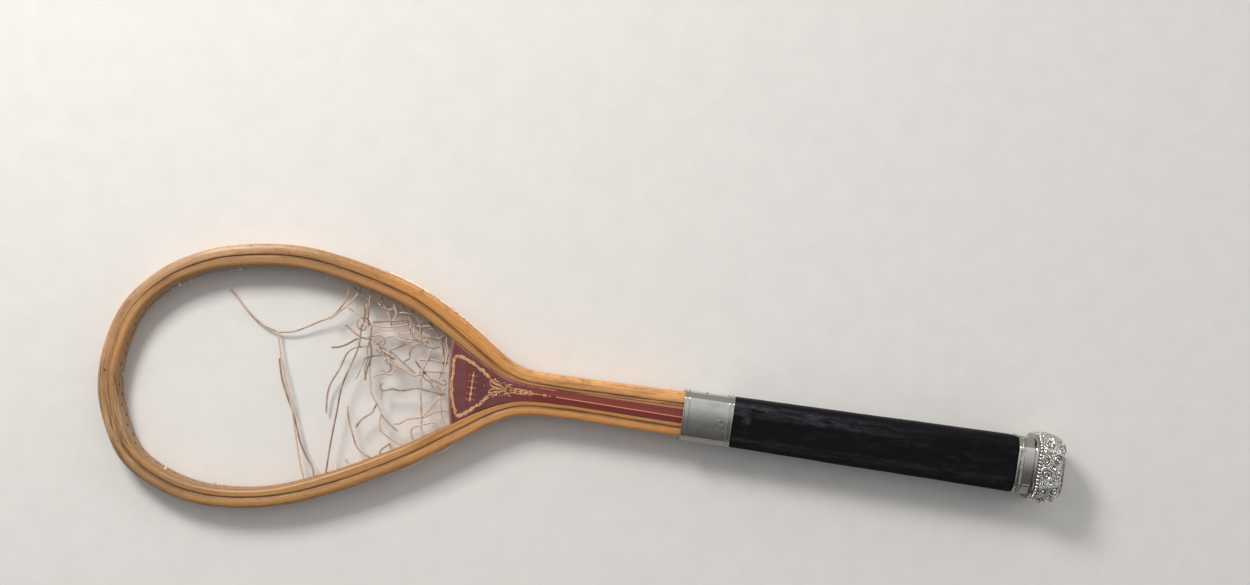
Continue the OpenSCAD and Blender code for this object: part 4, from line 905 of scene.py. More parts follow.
def gilding_strokes():
    """All gilt strokes on the wedge with their widths, its dots with their radius, and its
    lozenges, in working millimetres."""
    strokes, dots, lozenges = [], [], []
    for corners in (BORDER, BORDER_FRONT, BORDER_LOWER):
        lines, points = border_strokes(corners, 1.9)
        strokes += lines
        dots += points
    for corner in ((-435.9, 17.4, 1.7), (-428.8, -23.3, 1.6), (-410.9, 7.2, 1.5),
                   (-410.6, -8.4, 1.4), (-415, 10.6, 1.5), (-397.8, -0.3, 1.3)):
        strokes += rosette(*corner)
    for side in (1, -1):
        flip = np.array([1, side])

        def at(x, y):
            return np.array([x, y - 0.3]) * flip - [0, 0.3]

        outer = [at(-409.6, 6.4), at(-408.2, 5.4), at(-406.2, 3.6), at(-404, 2.9),
                 at(-401.6, 2.5), at(-399.4, 1.5), at(-397.6, 0.4)]
        inner = [at(-409.4, 3.8), at(-408.4, 2.2), at(-406.6, 1.1), at(-404.4, 0.8),
                 at(-401.6, 0.7), at(-399, 0.4)]
        strokes += [
            (spline(outer, 6), 1.5), (spline(inner, 6), 1.2),
            (scroll(at(-408.3, 4.6), 1.15, side * 2.4, side * 0.75, 0.4), 0.98),
            (scroll(at(-404.6, 4.7), 1.05, side * 3.8, side * -0.8, 0.4), 0.98),
            (leaf(at(-407.2, 5.2), side * 0.5, 2.4, side * 0.3), 1.2),
            (leaf(at(-403.9, 3.4), side * 0.85, 2.2, side * 0.35), 1.1),
            (leaf(at(-402.2, 2.8), side * 0.7, 2.4, side * 0.3), 1),
            (spline([at(-398.6, 1.2), at(-397, 2.2), at(-396.2, 3.4), at(-394.6, 4.3),
                     at(-393, 4.4)], 6), 1.1),
            (scroll(at(-397.6, 3.3), 0.8, side * 0.5, side * 0.8, 0.5), 0.78),
            (leaf(at(-396.2, 2.6), side * -0.3, 2.6, side * 0.3), 1)
        ]
        strokes += [(scroll(at(x, 0), r, side * 0.1, side * 0.48, 0.92, 12), 0.98)
                    for x, r in ((-392.6, 2.0), (-388.7, 2.1), (-384.9, 1.8), (-381.6, 1.2))]
        strokes += [(leaf(at(x, 0.9), side * 1.1, 1.5, side * 0.35, 5), 0.85)
                    for x in (-390.7, -386.8, -383.2)]
        strokes += [
            (leaf(at(-380, 0), side * 1.5, 2.5, side * 0.1, 6), 1),
            (leaf(at(-379.4, 0.3), side * 0.5, 1.8, side * 0.3, 5), 0.91),
            (leaf(at(-371.4, 0), side * 0.95, 2.0, side * -0.2, 6), 0.91),
            (leaf(at(-367.9, 0), side * 2.2, 1.9, side * 0.2, 6), 0.85)
        ]
    strokes.append((spline([(-398.6, -0.3), (-388, -0.3), (-377, -0.3), (-364, -0.4)], 12), 0.78))
    dots += [(-412.9, 0.2, 0.5), (-374.8, -0.3, 0.6), (-369.6, -0.3, 0.8), (-365.6, -0.4, 0.6),
             (-399.4, 4.4, 0.5), (-399.4, -5, 0.5), (-434.7, 18.8, 0.7), (-428.6, -24, 0.7),
             (-437.3, 15.8, 0.7), (-415, 11.4, 0.9), (-410.4, 7.6, 0.6), (-410, -8.8, 0.6)]
    for y in (6.2, 2, -2.4, -6.8, -10.8):
        lozenges.append((-421.6, y, 1.75))
        dots += [(-424.2, y, 0.45), (-419, y, 0.45)]
    lozenges += [(-421.6, y, 0.75) for y in (8.4, 4.1, -0.2, -4.6, -8.8)]
    return strokes, dots, lozenges


def gilding_surface(sizes):
    """Every stroke as a half-round strip, every dot as a low dome, every lozenge as a low
    four-sided pyramid with a soft top, on the lacquer's face."""
    sunk = 0.06
    z = reach("throat_wedge", 2)[1] - sunk
    scale, height = sizes.gilt_width / MM, sizes.gilt_height / MM + sunk
    strokes, dots, lozenges = gilding_strokes()
    surface = Surface()
    for path, width in strokes:
        half_round(surface, path, width * scale, height, z)
    dome = np.array([(1, -0.03), (0.8, 0.5), (0.45, 0.85), (0.12, 1)])
    for (x, y, r), sides in [(v, 9) for v in dots] + [(v, 4) for v in lozenges]:
        angle = 2 * pi * np.arange(sides) / sides
        stretch = np.array([0.75, 1.15]) if sides == 4 else np.ones(2)
        ring = np.stack([np.cos(angle), np.sin(angle)], 1) * stretch * r
        points = np.concatenate(
            [ring[None] * dome[:, :1, None] + [x, y],
             np.broadcast_to((z + height * dome[:, 1])[:, None, None], (4, sides, 1))], -1)
        surface.grid(points, ends=True)
    return surface


# Handle


def handle_ring(x, r, cut=0.3, arc=4, flat=5, swell=0.0):
    """Points round the octagonal handle at x, standing r proud of its wood. Each corner is cut
    back by cut and rounded by a curve with its control point in the corner; the flats between
    are divided evenly and stand out in an arc whose height is swell times the square of their
    length. x, r and cut are arrays of one value a ring."""
    x, r, cut = (np.atleast_1d(np.asarray(v, float)) for v in np.broadcast_arrays(x, r, cut))
    share = (x - COLLAR_FRONT) / (BAND_FRONT - COLLAR_FRONT)
    # Half width, half depth and cut of the corners, as they grow from the collar to the bead
    a = 16.3 + 2.6 * share + r
    b = 14 + 2.4 * share + r
    c = 3.6 + 2.4 * share + r * (2 - 2**0.5)
    corner = np.stack([np.stack(pair, -1) for pair in (
        (a, b - c), (a - c, b), (c - a, b), (-a, b - c), (-a, c - b), (c - a, -b), (a - c, -b),
        (a, c - b))], 1)
    before = corner + unit(np.roll(corner, 1, 1) - corner) * cut[:, None, None]
    after = corner + unit(np.roll(corner, -1, 1) - corner) * cut[:, None, None]
    t = (np.arange(arc) / arc)[:, None]
    curve = ((1 - t)**2 * before[:, :, None] + 2 * t * (1 - t) * corner[:, :, None]
             + t**2 * after[:, :, None])
    t = (np.arange(flat) / flat)[:, None]
    span = np.roll(before, -1, 1) - after
    outward = np.stack([span[..., 1], -span[..., 0]], -1)
    outward = outward * np.linalg.norm(outward, axis=-1, keepdims=True) * swell
    run = after[:, :, None] + t * span[:, :, None] + 4 * t * (1 - t) * outward[:, :, None]
    ring = np.concatenate([curve, run], 2).reshape(len(x), -1, 2)
    return np.concatenate([np.broadcast_to(x[:, None, None], ring.shape[:2] + (1,)), ring], -1)


def round_about(points):
    """UV map of a band: distance round it on one of its outer rings, and distance along x."""
    loop = np.concatenate([points, points[:, :1]], 1)
    length = np.concatenate([[0], np.cumsum(np.linalg.norm(np.diff(
        loop[len(loop) // 3], axis=0), axis=1))])
    return np.stack([np.broadcast_to(length, loop.shape[:2]), loop[..., 0]], -1) * MM


def add_shell(surface, points, *maps):
    """Joins rings round the handle into a closed shell, the last ring to the first one."""
    maps = [round_about(points), *maps]
    surface.grid(points, [np.concatenate([m, m[:1]]) for m in maps], wrap=(True, True))


def add_band(surface, profile, *shape):
    """A closed band round the handle, from a profile of x and r points that goes round its
    section. shape is the cut, arc, flat and swell of handle_ring."""
    profile = np.asarray(profile, float)
    add_shell(surface, handle_ring(profile[:, 0], profile[:, 1], *shape))


def band_piece(name, finish, node, profile, shape):
    """A silver band round the handle as a piece of its own, in place of a node."""
    surface = Surface("around")
    add_band(surface, profile, *shape)
    finish_piece(surface.object(name), finish, [node])


def wire_profile(x0, x1, r, h):
    """Half-round section from x0 to x1 on what stands r proud of the wood, h high."""
    turn = np.linspace(pi, 0, 11)
    mid, half = (x0 + x1) / 2, (x1 - x0) / 2
    outer = [(mid + half * np.cos(t), r + 0.25 * h + 0.75 * h * np.sin(t)) for t in turn]
    return [(x0, r)] + outer + [(x1, r)]


def strip_profile(x0, x1, r, t, soft=0.15):
    """Section of a sheet from x0 to x1, t thick, with softened outer corners."""
    outer = [(x0, r + t - soft), (x0 + soft * 0.3, r + t - soft * 0.3), (x0 + soft, r + t)]
    run = [(x, r + t) for x in np.linspace(x0 + soft, x1 - soft, 12)[1:-1]]
    close = [(x1 - soft, r + t), (x1 - soft * 0.3, r + t - soft * 0.3), (x1, r + t - soft)]
    return [(x0, r)] + outer + run + close + [(x1, r)]


def velvet_surface(sizes):
    """The grip: a soft-cornered octagon along the handle, drawn in at both hems and slightly
    uneven, as a pile is that hands have flattened."""
    x0, x1 = reach("velvet_sleeve")
    t = np.linspace(0, 1, 130)
    x = x0 + (x1 - x0) * t
    hem = np.minimum(x - x0, x1 - x)
    r = 0.95 * (0.42 + 0.58 * np.sqrt(1 - np.clip(1 - hem / 2.6, 0, 1)**2))
    points = handle_ring(x, r, 2.4, 6, 14)
    around = round_about(points)[:, :-1]
    wave = waves(around[..., 0] * 28, around[..., 1] * 12, 5, 14)
    wave = wave + 0.35 * waves(around[..., 0] * 120, around[..., 1] * 60, 6, 14)
    spine = unit(points[..., 1:] / [1.15, 1])
    grow = (wave * sizes.pile_wave / MM * np.clip(hem / 2, 0.2, 1)[:, None])[..., None]
    points[..., 1:] += spine * grow
    inner = handle_ring(x[::-1][::10], 0.06, 0.3, 6, 14)
    points = np.concatenate([points, inner])
    surface = Surface("around")
    add_shell(surface, points)
    return surface, (float(round_about(points)[0, -1, 0]), float(x1 - x0) * MM)


def milled_surface(sizes, x0, x1, r, h):
    """The milled band: a low band whose radius swings with the distance round it, so that it has
    even ridges."""
    profile = np.array(wire_profile(x0, x1, r, h * 0.6))
    points = handle_ring(profile[:, 0], profile[:, 1], 0.6, 20, 84)
    around = round_about(points)[..., 0]
    ridge = np.abs(np.cos(pi * sizes.mills * around[:, :-1] / around[:, -1:])) ** 0.7
    lift = np.clip((profile[:, 1] - r) / h, 0, 1)[:, None] * ridge * 0.42
    points[..., 1:] += unit(points[..., 1:]) * lift[..., None]
    surface = Surface("around")
    add_shell(surface, points)
    return surface


# Chased cap


def chasing_motifs(whole, low, high):
    """Scrolls of the chasing as (distance round the cap, along it, radius, turning sense): large
    ones staggered in two rows, with smaller ones between them."""
    rng = np.random.default_rng(11)
    count = 2 * int(round(whole / 22))
    pitch, mid = whole / count, (low + high) / 2 + 1.0
    reach_out = (high - low) / 2 - 1.0
    motifs = []
    for k in range(count):
        flip = 1 if k % 2 == 0 else -1
        for share, side, r, sense in ((0.0, 0.42, 5.2, 1), (0.12, -0.6, 3.5, -1),
                                      (0.5, 0.02, 2.3, -1), (0.52, 0.96, 2.4, 1),
                                      (0.46, -0.95, 2.3, 1)):
            motifs.append((k * pitch + share * pitch + rng.uniform(-0.5, 0.5),
                           mid + flip * side * reach_out + rng.uniform(-0.5, 0.5), r,
                           flip * sense, rng.uniform(0, 1)))
    return motifs


def chasing_height(v, x, whole, low, high):
    """Relief from 0 to 1 over the cap. Every point belongs to the motif whose centre is nearest
    in proportion to its radius, at d radii and the angle a. Within 0.67 radii the height is a
    bell round the ridge where d r / 2.1 mm - a / 2 pi is whole, which is a spiral; beyond it
    veined leaf lobes stand round the spiral. Valleys part the motifs, and a row of beads runs
    along the front."""
    best = np.full(v.shape, 9.0)
    second = best.copy()
    height = np.zeros(v.shape)
    for cv, cx, r, sense, start in chasing_motifs(whole, low, high):
        dv = (v - cv + whole / 2) % whole - whole / 2
        d = np.hypot(dv, x - cx) / r
        turn = np.arctan2(x - cx, dv) / (2 * pi) * sense + start
        ridge = (d * r / 2.1 - turn) % 1
        inner = np.exp(-((ridge - 0.5) / 0.24)**2) * np.clip((0.68 - d) / 0.08, 0, 1)
        lobes = round(2 * pi * 0.85 * r / 2.2)
        f = (lobes * (turn + 0.1 * (d - 0.62) / 0.4)) % 1
        leafy = np.sin(pi * f)**0.6 * (1 - 0.35 * np.exp(-((f - 0.5) / 0.1)**2))
        leafy = leafy * np.clip((d - 0.66) / 0.1, 0, 1) * (1.2 - 0.35 * d)
        own = np.where(d < 0.67, inner, 0.85 * leafy)
        new = d < best
        second = np.where(new, best, np.minimum(second, d))
        height = np.where(new, own, height)
        best = np.where(new, d, best)
    height = height * np.clip((second - best) / 0.14, 0, 1)**0.7
    beads = round(whole / 2.6)
    bead = np.hypot(((v / whole * beads + 0.5) % 1 - 0.5) * whole / beads, x - low - 1.3)
    height = np.where(x < low + 2.7, np.sqrt(np.clip(1 - (bead / 1.2)**2, 0, 1)), height)
    return height + 0.03 * np.sin(v * 9.1) * np.sin(x * 8.3 + np.sin(v * 3))


def cap_surface(sizes):
    """The cap: a swelling octagon shell whose outside carries the chased relief."""
    shares = spline([(0, 0.66), (0.12, 0.88), (0.3, 1), (0.55, 0.98), (0.76, 0.8), (0.9, 0.45),
                     (1, 0.06)], 16)
    x0, x1 = reach("butt_cap")
    x, r = x0 + (x1 - x0) * shares[:, 0], shares[:, 1] * 5.1
    points = handle_ring(x, r, 3.4, 16, 84, 0.0007)
    around = round_about(points)[:, :-1] / MM
    whole = round_about(points)[0, -1, 0] / MM
    # Distance along the profile, so that scrolls keep their shape where the cap turns in
    along = run_length(np.stack([x, r], 1))[:, None] + 0 * around[..., 0]
    height = chasing_height(around[..., 0], along, whole, 0.4, along.max() - 1.0)
    fade = np.clip(np.minimum(along - 0.1, along.max() - 0.2 - along) / 0.9, 0, 1)
    height = height * fade
    outward = unit(np.cross(np.roll(points, -1, 1) - np.roll(points, 1, 1),
                            np.gradient(points, axis=0)))
    outward = outward * np.sign((outward[..., 1:] * points[..., 1:]).sum(-1).mean())
    lift = (height - 0.5 * fade) * sizes.relief / MM
    points = points + outward * lift[..., None]
    inner = handle_ring(np.linspace(x1, x0, 10), np.interp(
        np.linspace(x1, x0, 10), x, r) - 0.7, 0.3, 16, 84)
    points = np.concatenate([points, inner])
    relief = np.zeros(points.shape[:2])
    relief[: len(height)] = height
    relief = np.concatenate([relief, relief[:, :1]], 1)
    relief = np.stack([relief, relief], -1)
    surface = Surface("around", "relief")
    add_shell(surface, points, relief)
    return surface


# Gut


def nearest_hole(point, pitch):
    """Distance along the edge and height of the hole whose inner mouth is nearest a point."""
    s, z = EDGE.holes(pitch)
    mouth = EDGE.at(s, EDGE.width(s), z)
    k = np.argmin(np.linalg.norm(mouth[:, :2] - np.asarray(point), axis=1))
    return s[k], z[k]


def hole_points(point, pitch, gut):
    """A point inside the hole nearest a point, and one in its mouth."""
    s, z = nearest_hole(point, pitch)
    w = EDGE.width(s)
    return [EDGE.at(s, w - HOLE_BITE, z), EDGE.at(s, w + gut / 4, z)]


def strand_path(strand, sizes):
    """A strand's route as a smooth curve of evenly spaced points, from its hole if it has one."""
    pitch, gut = sizes.hole_pitch / MM, sizes.gut / MM
    route = [np.array(p, float) + [HEAD_SHIFT, 0, 0] for p in strand.route]
    if strand.start:
        route = hole_points(strand.start, pitch, gut) + route
    if strand.end:
        route = route + hole_points(strand.end, pitch, gut)[::-1]
        route = route[::-1]
    return spaced(spline(route, 6), GUT_STEP)


def add_gut(surface, path, sizes, seed, free, thin=1.0, pale=False):
    """One strand: a tube of three plies that wind round it, of slightly uneven thickness, thinned
    at its free ends. Its strand map holds the length along it and its own shade, its ply map the
    distance to a free end and the turn of the plies."""
    rng = np.random.default_rng(seed)
    along = run_length(path)
    sides = 10
    lay = sizes.gut_lay / MM * (1 if seed % 2 else -1)
    turn = 3 * np.arange(sides + 1) / sides + along[:, None] / lay
    radius = thin * sizes.gut / MM / 2 * (1 + 0.08 * np.cos(2 * pi * turn[:, :-1])
                                   + 0.05 * waves(along[:, None] / 7, 0, seed + 50))
    ends = np.full(len(path), 99.0)
    if free[0]:
        ends = np.minimum(ends, along)
    if free[1]:
        ends = np.minimum(ends, along[-1] - along)
    radius = radius * np.clip(0.5 + ends[:, None] / 1.2, 0.5, 1)
    shade = -0.6 if pale else rng.uniform(0, 1)
    size = turn.shape
    strand = np.stack([np.broadcast_to(along[:, None] * MM, size), np.full(size, shade)], -1)
    ply = np.stack([np.broadcast_to(ends[:, None] * MM, size), turn], -1)
    tube(surface, path, radius, sides, (strand, ply))


def add_hair(surface, line, thick, shade):
    """One fibre along a line, thick at its foot and tapering."""
    count = len(line)
    taper = thick * (1 - 0.65 * np.linspace(0, 1, count))[:, None] * np.ones(4)
    strand = np.broadcast_to([0.0, shade], (count, 5, 2))
    tube(surface, line, taper, 4, (strand, np.zeros((count, 5, 2))))


def add_frays(surface, path, seed, free, count=3, every=9, long=1.0):
    """Fibres that splay from each free end of a strand, and one that stands off along it every
    so many millimetres."""
    rng = np.random.default_rng(seed + 1000)
    t = np.linspace(0, 1, 7)[:, None]
    for at_start, tip, back in ((True, path[0], path[3]), (False, path[-1], path[-4])):
        if not free[0 if at_start else 1]:
            continue
        out = unit(tip - back)
        for _ in range(rng.integers(0, count + 1)):
            spread = unit(out + rng.normal(0, 0.3, 3) * [1, 1, 0.5])
            curl = rng.normal(0, 0.3, 3)
            line = tip - out * 0.5 + spread * t * rng.uniform(0.8, 2.2) + curl * t**2
            add_hair(surface, line, 0.12 if long == 1 else 0.19, 0.2 if long == 1 else -0.6)
    for _ in range(int(run_length(path)[-1] / every)):
        k = rng.integers(3, len(path) - 3)
        along = unit(path[k + 1] - path[k])
        off = unit(np.cross(along, rng.normal(0, 1, 3)))
        reach_off = rng.uniform(1.0, 3.0) * long
        line = path[k] + off * 0.5 + (along * t * 0.8 + off * t * (1 - 0.5 * t)) * reach_off
        add_hair(surface, line, 0.08 if long == 1 else 0.2, 0.4 if long == 1 else -0.6)


def outer_path(run, sizes):
    """A run of gut along the bow's outer wall."""
    s0, s1, z0, z1 = run
    base = EDGE.start if s0 > 0 else EDGE.end
    s = np.linspace(base + s0, base + s1, max(int(abs(s1 - s0) / 1.5), 4))
    z = np.linspace(z0, z1, len(s))
    return spaced(EDGE.at(s, -0.6 * sizes.gut / MM - 0.03, z), GUT_STEP)


def stub_path(x, y, out, sizes):
    """A short end in the hole nearest a point, that stands out of it by a few millimetres."""
    s, z = nearest_hole((x, y), sizes.hole_pitch / MM)
    w = EDGE.width(s)
    bends = [(w - HOLE_BITE, z), (w, z), (w + out * 0.6, z * 0.8), (w + out, z * 0.6)]
    return spaced(np.array([EDGE.at(s, *bend) for bend in bends]), GUT_STEP)


# Nodes


class Tree:
    """Short ways to place nodes in a node tree and join them."""

    def __init__(self, tree):
        self.tree = tree

    def put(self, socket, value):
        if isinstance(value, bpy.types.NodeSocket):
            self.tree.links.new(value, socket)
        elif socket.type == "RGBA" and len(value) == 3:
            socket.default_value = (*value, 1)
        else:
            socket.default_value = value

    def node(self, kind, inputs=(), **settings):
        node = self.tree.nodes.new(kind)
        for key, value in settings.items():
            setattr(node, key, value)
        for key, value in dict(inputs).items():
            self.put(node.inputs[key], value)
        return node

    def math(self, operation, a, b=0.0):
        return self.node("ShaderNodeMath", {0: a, 1: b}, operation=operation).outputs[0]

    def plus(self, a, b):
        return self.math("ADD", a, b)

    def minus(self, a, b):
        return self.math("SUBTRACT", a, b)

    def times(self, a, b):
        return self.math("MULTIPLY", a, b)

    def larger(self, a, b):
        return self.math("MAXIMUM", a, b)

    def step(self, value, low, high):
        """Smooth step from 0 at low to 1 at high; low may be the larger one."""
        return self.node("ShaderNodeMapRange", {"Value": value, "From Min": low, "From Max": high},
                         interpolation_type="SMOOTHSTEP").outputs["Result"]

    def near(self, value, middle, half):
        """1 at middle, falling to 0 half away from it."""
        away = self.math("ABSOLUTE", self.minus(value, middle))
        return self.step(away, half, half * 0.45)

    def mix(self, share, a, b):
        return self.node("ShaderNodeMix", {0: share, 6: a, 7: b}, data_type="RGBA").outputs[2]

    def tint(self, colour, other, mask, amount):
        """The colour, mixed by amount of the mask towards the other one."""
        return self.mix(self.times(mask, amount), colour, other)

    def noise(self, vector, scale, detail=2.0, rough=0.5, distortion=0.0):
        """Noise of one scale, or of three, one an axis."""
        if isinstance(scale, tuple):
            vector, scale = self.stretch(vector, scale), 1
        inputs = {"Vector": vector, "Scale": scale, "Detail": detail, "Roughness": rough,
                  "Distortion": distortion}
        return self.node("ShaderNodeTexNoise", inputs).outputs[0]

    def stretch(self, vector, scale):
        return self.node("ShaderNodeVectorMath", {0: vector, 1: scale},
                         operation="MULTIPLY").outputs[0]

    def spot(self, vector, middle, radius, ragged):
        """1 within radius of a place, with an edge made ragged by noise."""
        away = self.node("ShaderNodeVectorMath", {0: vector, 1: tuple(place(middle))},
                         operation="DISTANCE").outputs["Value"]
        rough = self.times(self.noise(vector, 420, 4, 0.6), ragged)
        return self.step(self.plus(away, rough), radius * MM + ragged / 2,
                         radius * MM * 0.3 + ragged / 2)

    def object(self):
        return self.node("ShaderNodeTexCoord").outputs["Object"]

    def uv(self, name):
        return self.node("ShaderNodeUVMap", uv_map=name).outputs[0]

    def parts(self, vector):
        return self.node("ShaderNodeSeparateXYZ", {0: vector}).outputs[:]

    def join(self, x, y, z):
        return self.node("ShaderNodeCombineXYZ", {0: x, 1: y, 2: z}).outputs[0]

    def effect(self, name, **inputs):
        """Places a shared effect with this material's own values."""
        node = self.tree.nodes.new("ShaderNodeGroup")
        node.node_tree = bpy.data.node_groups[name]
        for key, value in inputs.items():
            self.put(node.inputs[key], value)
        return node.outputs

    def bump(self, height, distance, strength=1.0):
        return self.node("ShaderNodeBump", {"Height": height, "Distance": distance,
                                            "Strength": strength}).outputs[0]


def new_effect(name, values, outputs):
    """A shader node group with a vector input, value inputs with their defaults, and value
    outputs."""
    group = bpy.data.node_groups.new(name, "ShaderNodeTree")
    sockets = group.interface
    sockets.new_socket("Vector", in_out="INPUT", socket_type="NodeSocketVector")
    for title, default in values.items():
        value = sockets.new_socket(title, in_out="INPUT", socket_type="NodeSocketFloat")
        value.default_value = default
    for title in outputs:
        sockets.new_socket(title, in_out="OUTPUT", socket_type="NodeSocketFloat")
    tree = Tree(group)
    return tree, tree.node("NodeGroupInput").outputs, tree.node("NodeGroupOutput").inputs


def make_effects():
    """Grain, wear, dust and tarnish, which several finishes share."""
    t, source, out = new_effect("Wood grain", {"Lines": 800.0}, ("Streaks", "Pores", "Figure"))
    lines = t.join(11.0, source["Lines"], source["Lines"])
    streaks = t.noise(t.stretch(source["Vector"], lines), 1, 3, 0.6, 0.35)
    t.put(out["Streaks"], t.step(streaks, 0.36, 0.7))
    pores = t.noise(source["Vector"], (170, 2900, 2900), 2, 0.5)
    t.put(out["Pores"], t.step(pores, 0.55, 0.72))
    figure = t.noise(source["Vector"], (16, 70, 70), 4, 0.6, 0.6)
    t.put(out["Figure"], t.step(figure, 0.3, 0.72))

    t, source, out = new_effect("Wear", {"Size": 200.0, "Amount": 0.4}, ("Mask",))
    patches = t.noise(source["Vector"], source["Size"], 6, 0.68, 0.4)
    edge = t.minus(1.0, source["Amount"])
    t.put(out["Mask"], t.step(patches, t.minus(edge, 0.07), t.plus(edge, 0.07)))

    t, source, out = new_effect("Dust", {"Amount": 0.3}, ("Mask",))
    up = t.parts(t.node("ShaderNodeNewGeometry").outputs["Normal"])[2]
    flecks = t.step(t.noise(source["Vector"], 520, 5, 0.7), 0.42, 0.78)
    film = t.times(t.step(up, 0.1, 0.95), flecks)
    t.put(out["Mask"], t.times(film, source["Amount"]))

    # Recess is covered in full by the tarnish colour: the cap's hollows, and painted shade on the
    # plain bands
    t, source, out = new_effect("Tarnish", {"Recess": 0.0, "Amount": 0.3},
                                ("Mask", "Roughness"))
    blotch = t.noise(source["Vector"], 85, 5, 0.62, 0.5)
    film = t.times(t.step(blotch, 0.4, 0.75), source["Amount"])
    t.put(out["Mask"], t.larger(film, source["Recess"]))
    fine = t.noise(source["Vector"], 900, 4, 0.6)
    t.put(out["Roughness"], t.plus(0.11, t.plus(t.times(fine, 0.12), t.times(film, 0.25))))


def new_finish(name, **constants):
    """A material with one Principled shader; constants are set on its own sockets."""
    material = bpy.data.materials.new(name)
    material.use_nodes = True
    tree = Tree(material.node_tree)
    shader = material.node_tree.nodes["Principled BSDF"]
    for key, value in constants.items():
        tree.put(shader.inputs[key.replace("_", " ")], value)
    return material, tree, shader.inputs


def ash_finish(colours):
    """Old golden varnish on bent ash, greyer and browner round the head: grain along the bow, a
    soft dark groove, partly dirt and partly painted shade, painted shade on the inner side, a
    painted highlight in patches along the outer edge of the upper shoulder, torn fibres and
    splits where the wood bends most, and dark specks."""
    material, t, out = new_finish("Varnished ash", Coat_Weight=0.4, Coat_Roughness=0.3)
    here = t.object()
    along, depth, _ = t.parts(t.uv("grain"))
    from_groove, from_wall, _ = t.parts(t.uv("edge"))
    wood_place = t.join(along, depth, t.parts(here)[2])
    wood = t.effect("Wood grain", Vector=wood_place, Lines=620.0)
    tone = t.noise(wood_place, (24, 150, 110), 4, 0.6, 0.4)
    patch = t.noise(wood_place, (9, 40, 40), 3, 0.6, 0.5)
    bend = EDGE.along_at(*LOWER_BEND) * MM
    start, end = EDGE.start * MM, EDGE.end * MM
    head = t.times(t.step(along, start + 0.11, start + 0.22), t.step(along, end - 0.09, end - 0.2))
    aged = t.larger(t.times(t.near(along, bend, 0.3), 0.75),
                    t.times(head, t.step(patch, 0.3, 0.7)))
    colour = t.mix(aged, colours.ash, colours.ash_old)
    crown = t.near(along, EDGE.along_at(*CROWN) * MM, 0.09)
    colour = t.tint(colour, (0.66, 0.33, 0.12), crown, 0.6)
    bright = t.step(along, start + 0.06, start + 0.025)
    colour = t.tint(colour, (0.94, 0.46, 0.15), bright, 0.75)
    grey = t.times(t.near(along, bend, 0.085), t.step(tone, 0.3, 0.55))
    colour = t.tint(colour, (0.25, 0.16, 0.085), grey, 0.6)
    # Painted highlight: the outer edge of the upper shoulder made paler, broken into patches
    pale = t.times(t.near(along, EDGE.along_at(*UPPER_SHOULDER) * MM, 0.12),
                   t.step(depth, 0.009, 0.0035))
    pale = t.times(pale, t.step(patch, 0.1, 0.5))
    colour = t.tint(colour, (0.66, 0.42, 0.25), pale, 0.85)
    colour = t.tint(colour, colours.ash_grain, wood["Streaks"], 0.5)
    colour = t.tint(colour, colours.ash_grain, t.step(tone, 0.45, 0.74), 0.55)
    colour = t.tint(colour, colours.groove, wood["Pores"], 0.35)
    # Painted shade: the upper limb's inner strip, the band beside the inner wall and the inner edge
    # itself go towards the shaded ash colour
    upper = t.times(t.step(t.parts(here)[1], 0, 0.03), 0.42)
    strip = t.times(t.step(from_groove, -0.0009, -0.0019), t.times(upper, t.minus(1.0, crown)))
    shoulder = t.times(t.step(from_wall, 0.0042, 0.0012), 0.42)
    wall = t.times(t.step(from_wall, 0.0009, 0.0001), 0.6)
    for share in (strip, shoulder, wall):
        colour = t.mix(share, colour, colours.ash_shade)
    # Darker along the groove: partly dirt and partly painted shade in the groove, broken by noise
    # and weaker round the crown
    dirt_and_shade = t.step(t.noise(wood_place, (60, 400, 400), 3), 0.05, 0.7)
    groove = t.times(t.near(from_groove, 0, 0.0019), dirt_and_shade)
    groove = t.times(groove, t.minus(0.72, t.times(crown, 0.4)))
    colour = t.mix(groove, colour, colours.groove)
    weak = t.step(t.noise(wood_place, (45, 160, 90), 3), 0.4, 0.6)
    torn = t.times(t.near(along, bend - 0.032, 0.06), weak)
    fibres = t.noise(wood_place, (38, 900, 700), 3, 0.6, 0.4)
    light = t.times(t.step(fibres, 0.5, 0.36), torn)
    colour = t.tint(colour, (0.56, 0.4, 0.22), light, 0.6)
    split = t.times(t.step(fibres, 0.53, 0.6), torn)
    colour = t.tint(colour, (0.06, 0.032, 0.014), split, 0.85)
    speck = t.step(t.noise(here, 230, 3, 0.6), 0.69, 0.74)
    colour = t.tint(colour, (0.03, 0.015, 0.006), speck, 0.7)
    wear = t.effect("Wear", Vector=here, Size=150.0, Amount=0.42)["Mask"]
    rubbed = t.times(t.step(depth, 0.0036, 0.0008), wear)
    colour = t.tint(colour, colours.groove, rubbed, 0.45)
    dust = t.effect("Dust", Vector=here, Amount=0.09)["Mask"]
    t.put(out["Base Color"], t.mix(dust, colour, (0.6, 0.5, 0.4)))
    t.put(out["Roughness"], t.plus(0.34, t.times(tone, 0.3)))
    relief = t.minus(t.times(wood["Streaks"], 0.5), wood["Pores"])
    relief = t.minus(relief, t.times(split, 3.0))
    t.put(out["Normal"], t.bump(relief, 0.00018, 0.6))
    return material


def shaft_stripes(t, here, colours, ragged):
    """Colour across the throat and shaft, brownish red above a slightly slanting line and deep
    red below it, and the height above that line."""
    x, y, _ = t.parts(here)
    line = t.plus(t.times(t.minus(x, X0 - 0.361), -0.0135), Y0 - 0.0003)
    y = t.minus(y, line)
    drift = t.plus(y, t.times(t.minus(ragged, 0.5), 0.0012))
    colour = t.mix(t.step(drift, -0.0003, 0.0003), colours.filler, colours.filler_grey)
    return colour, y


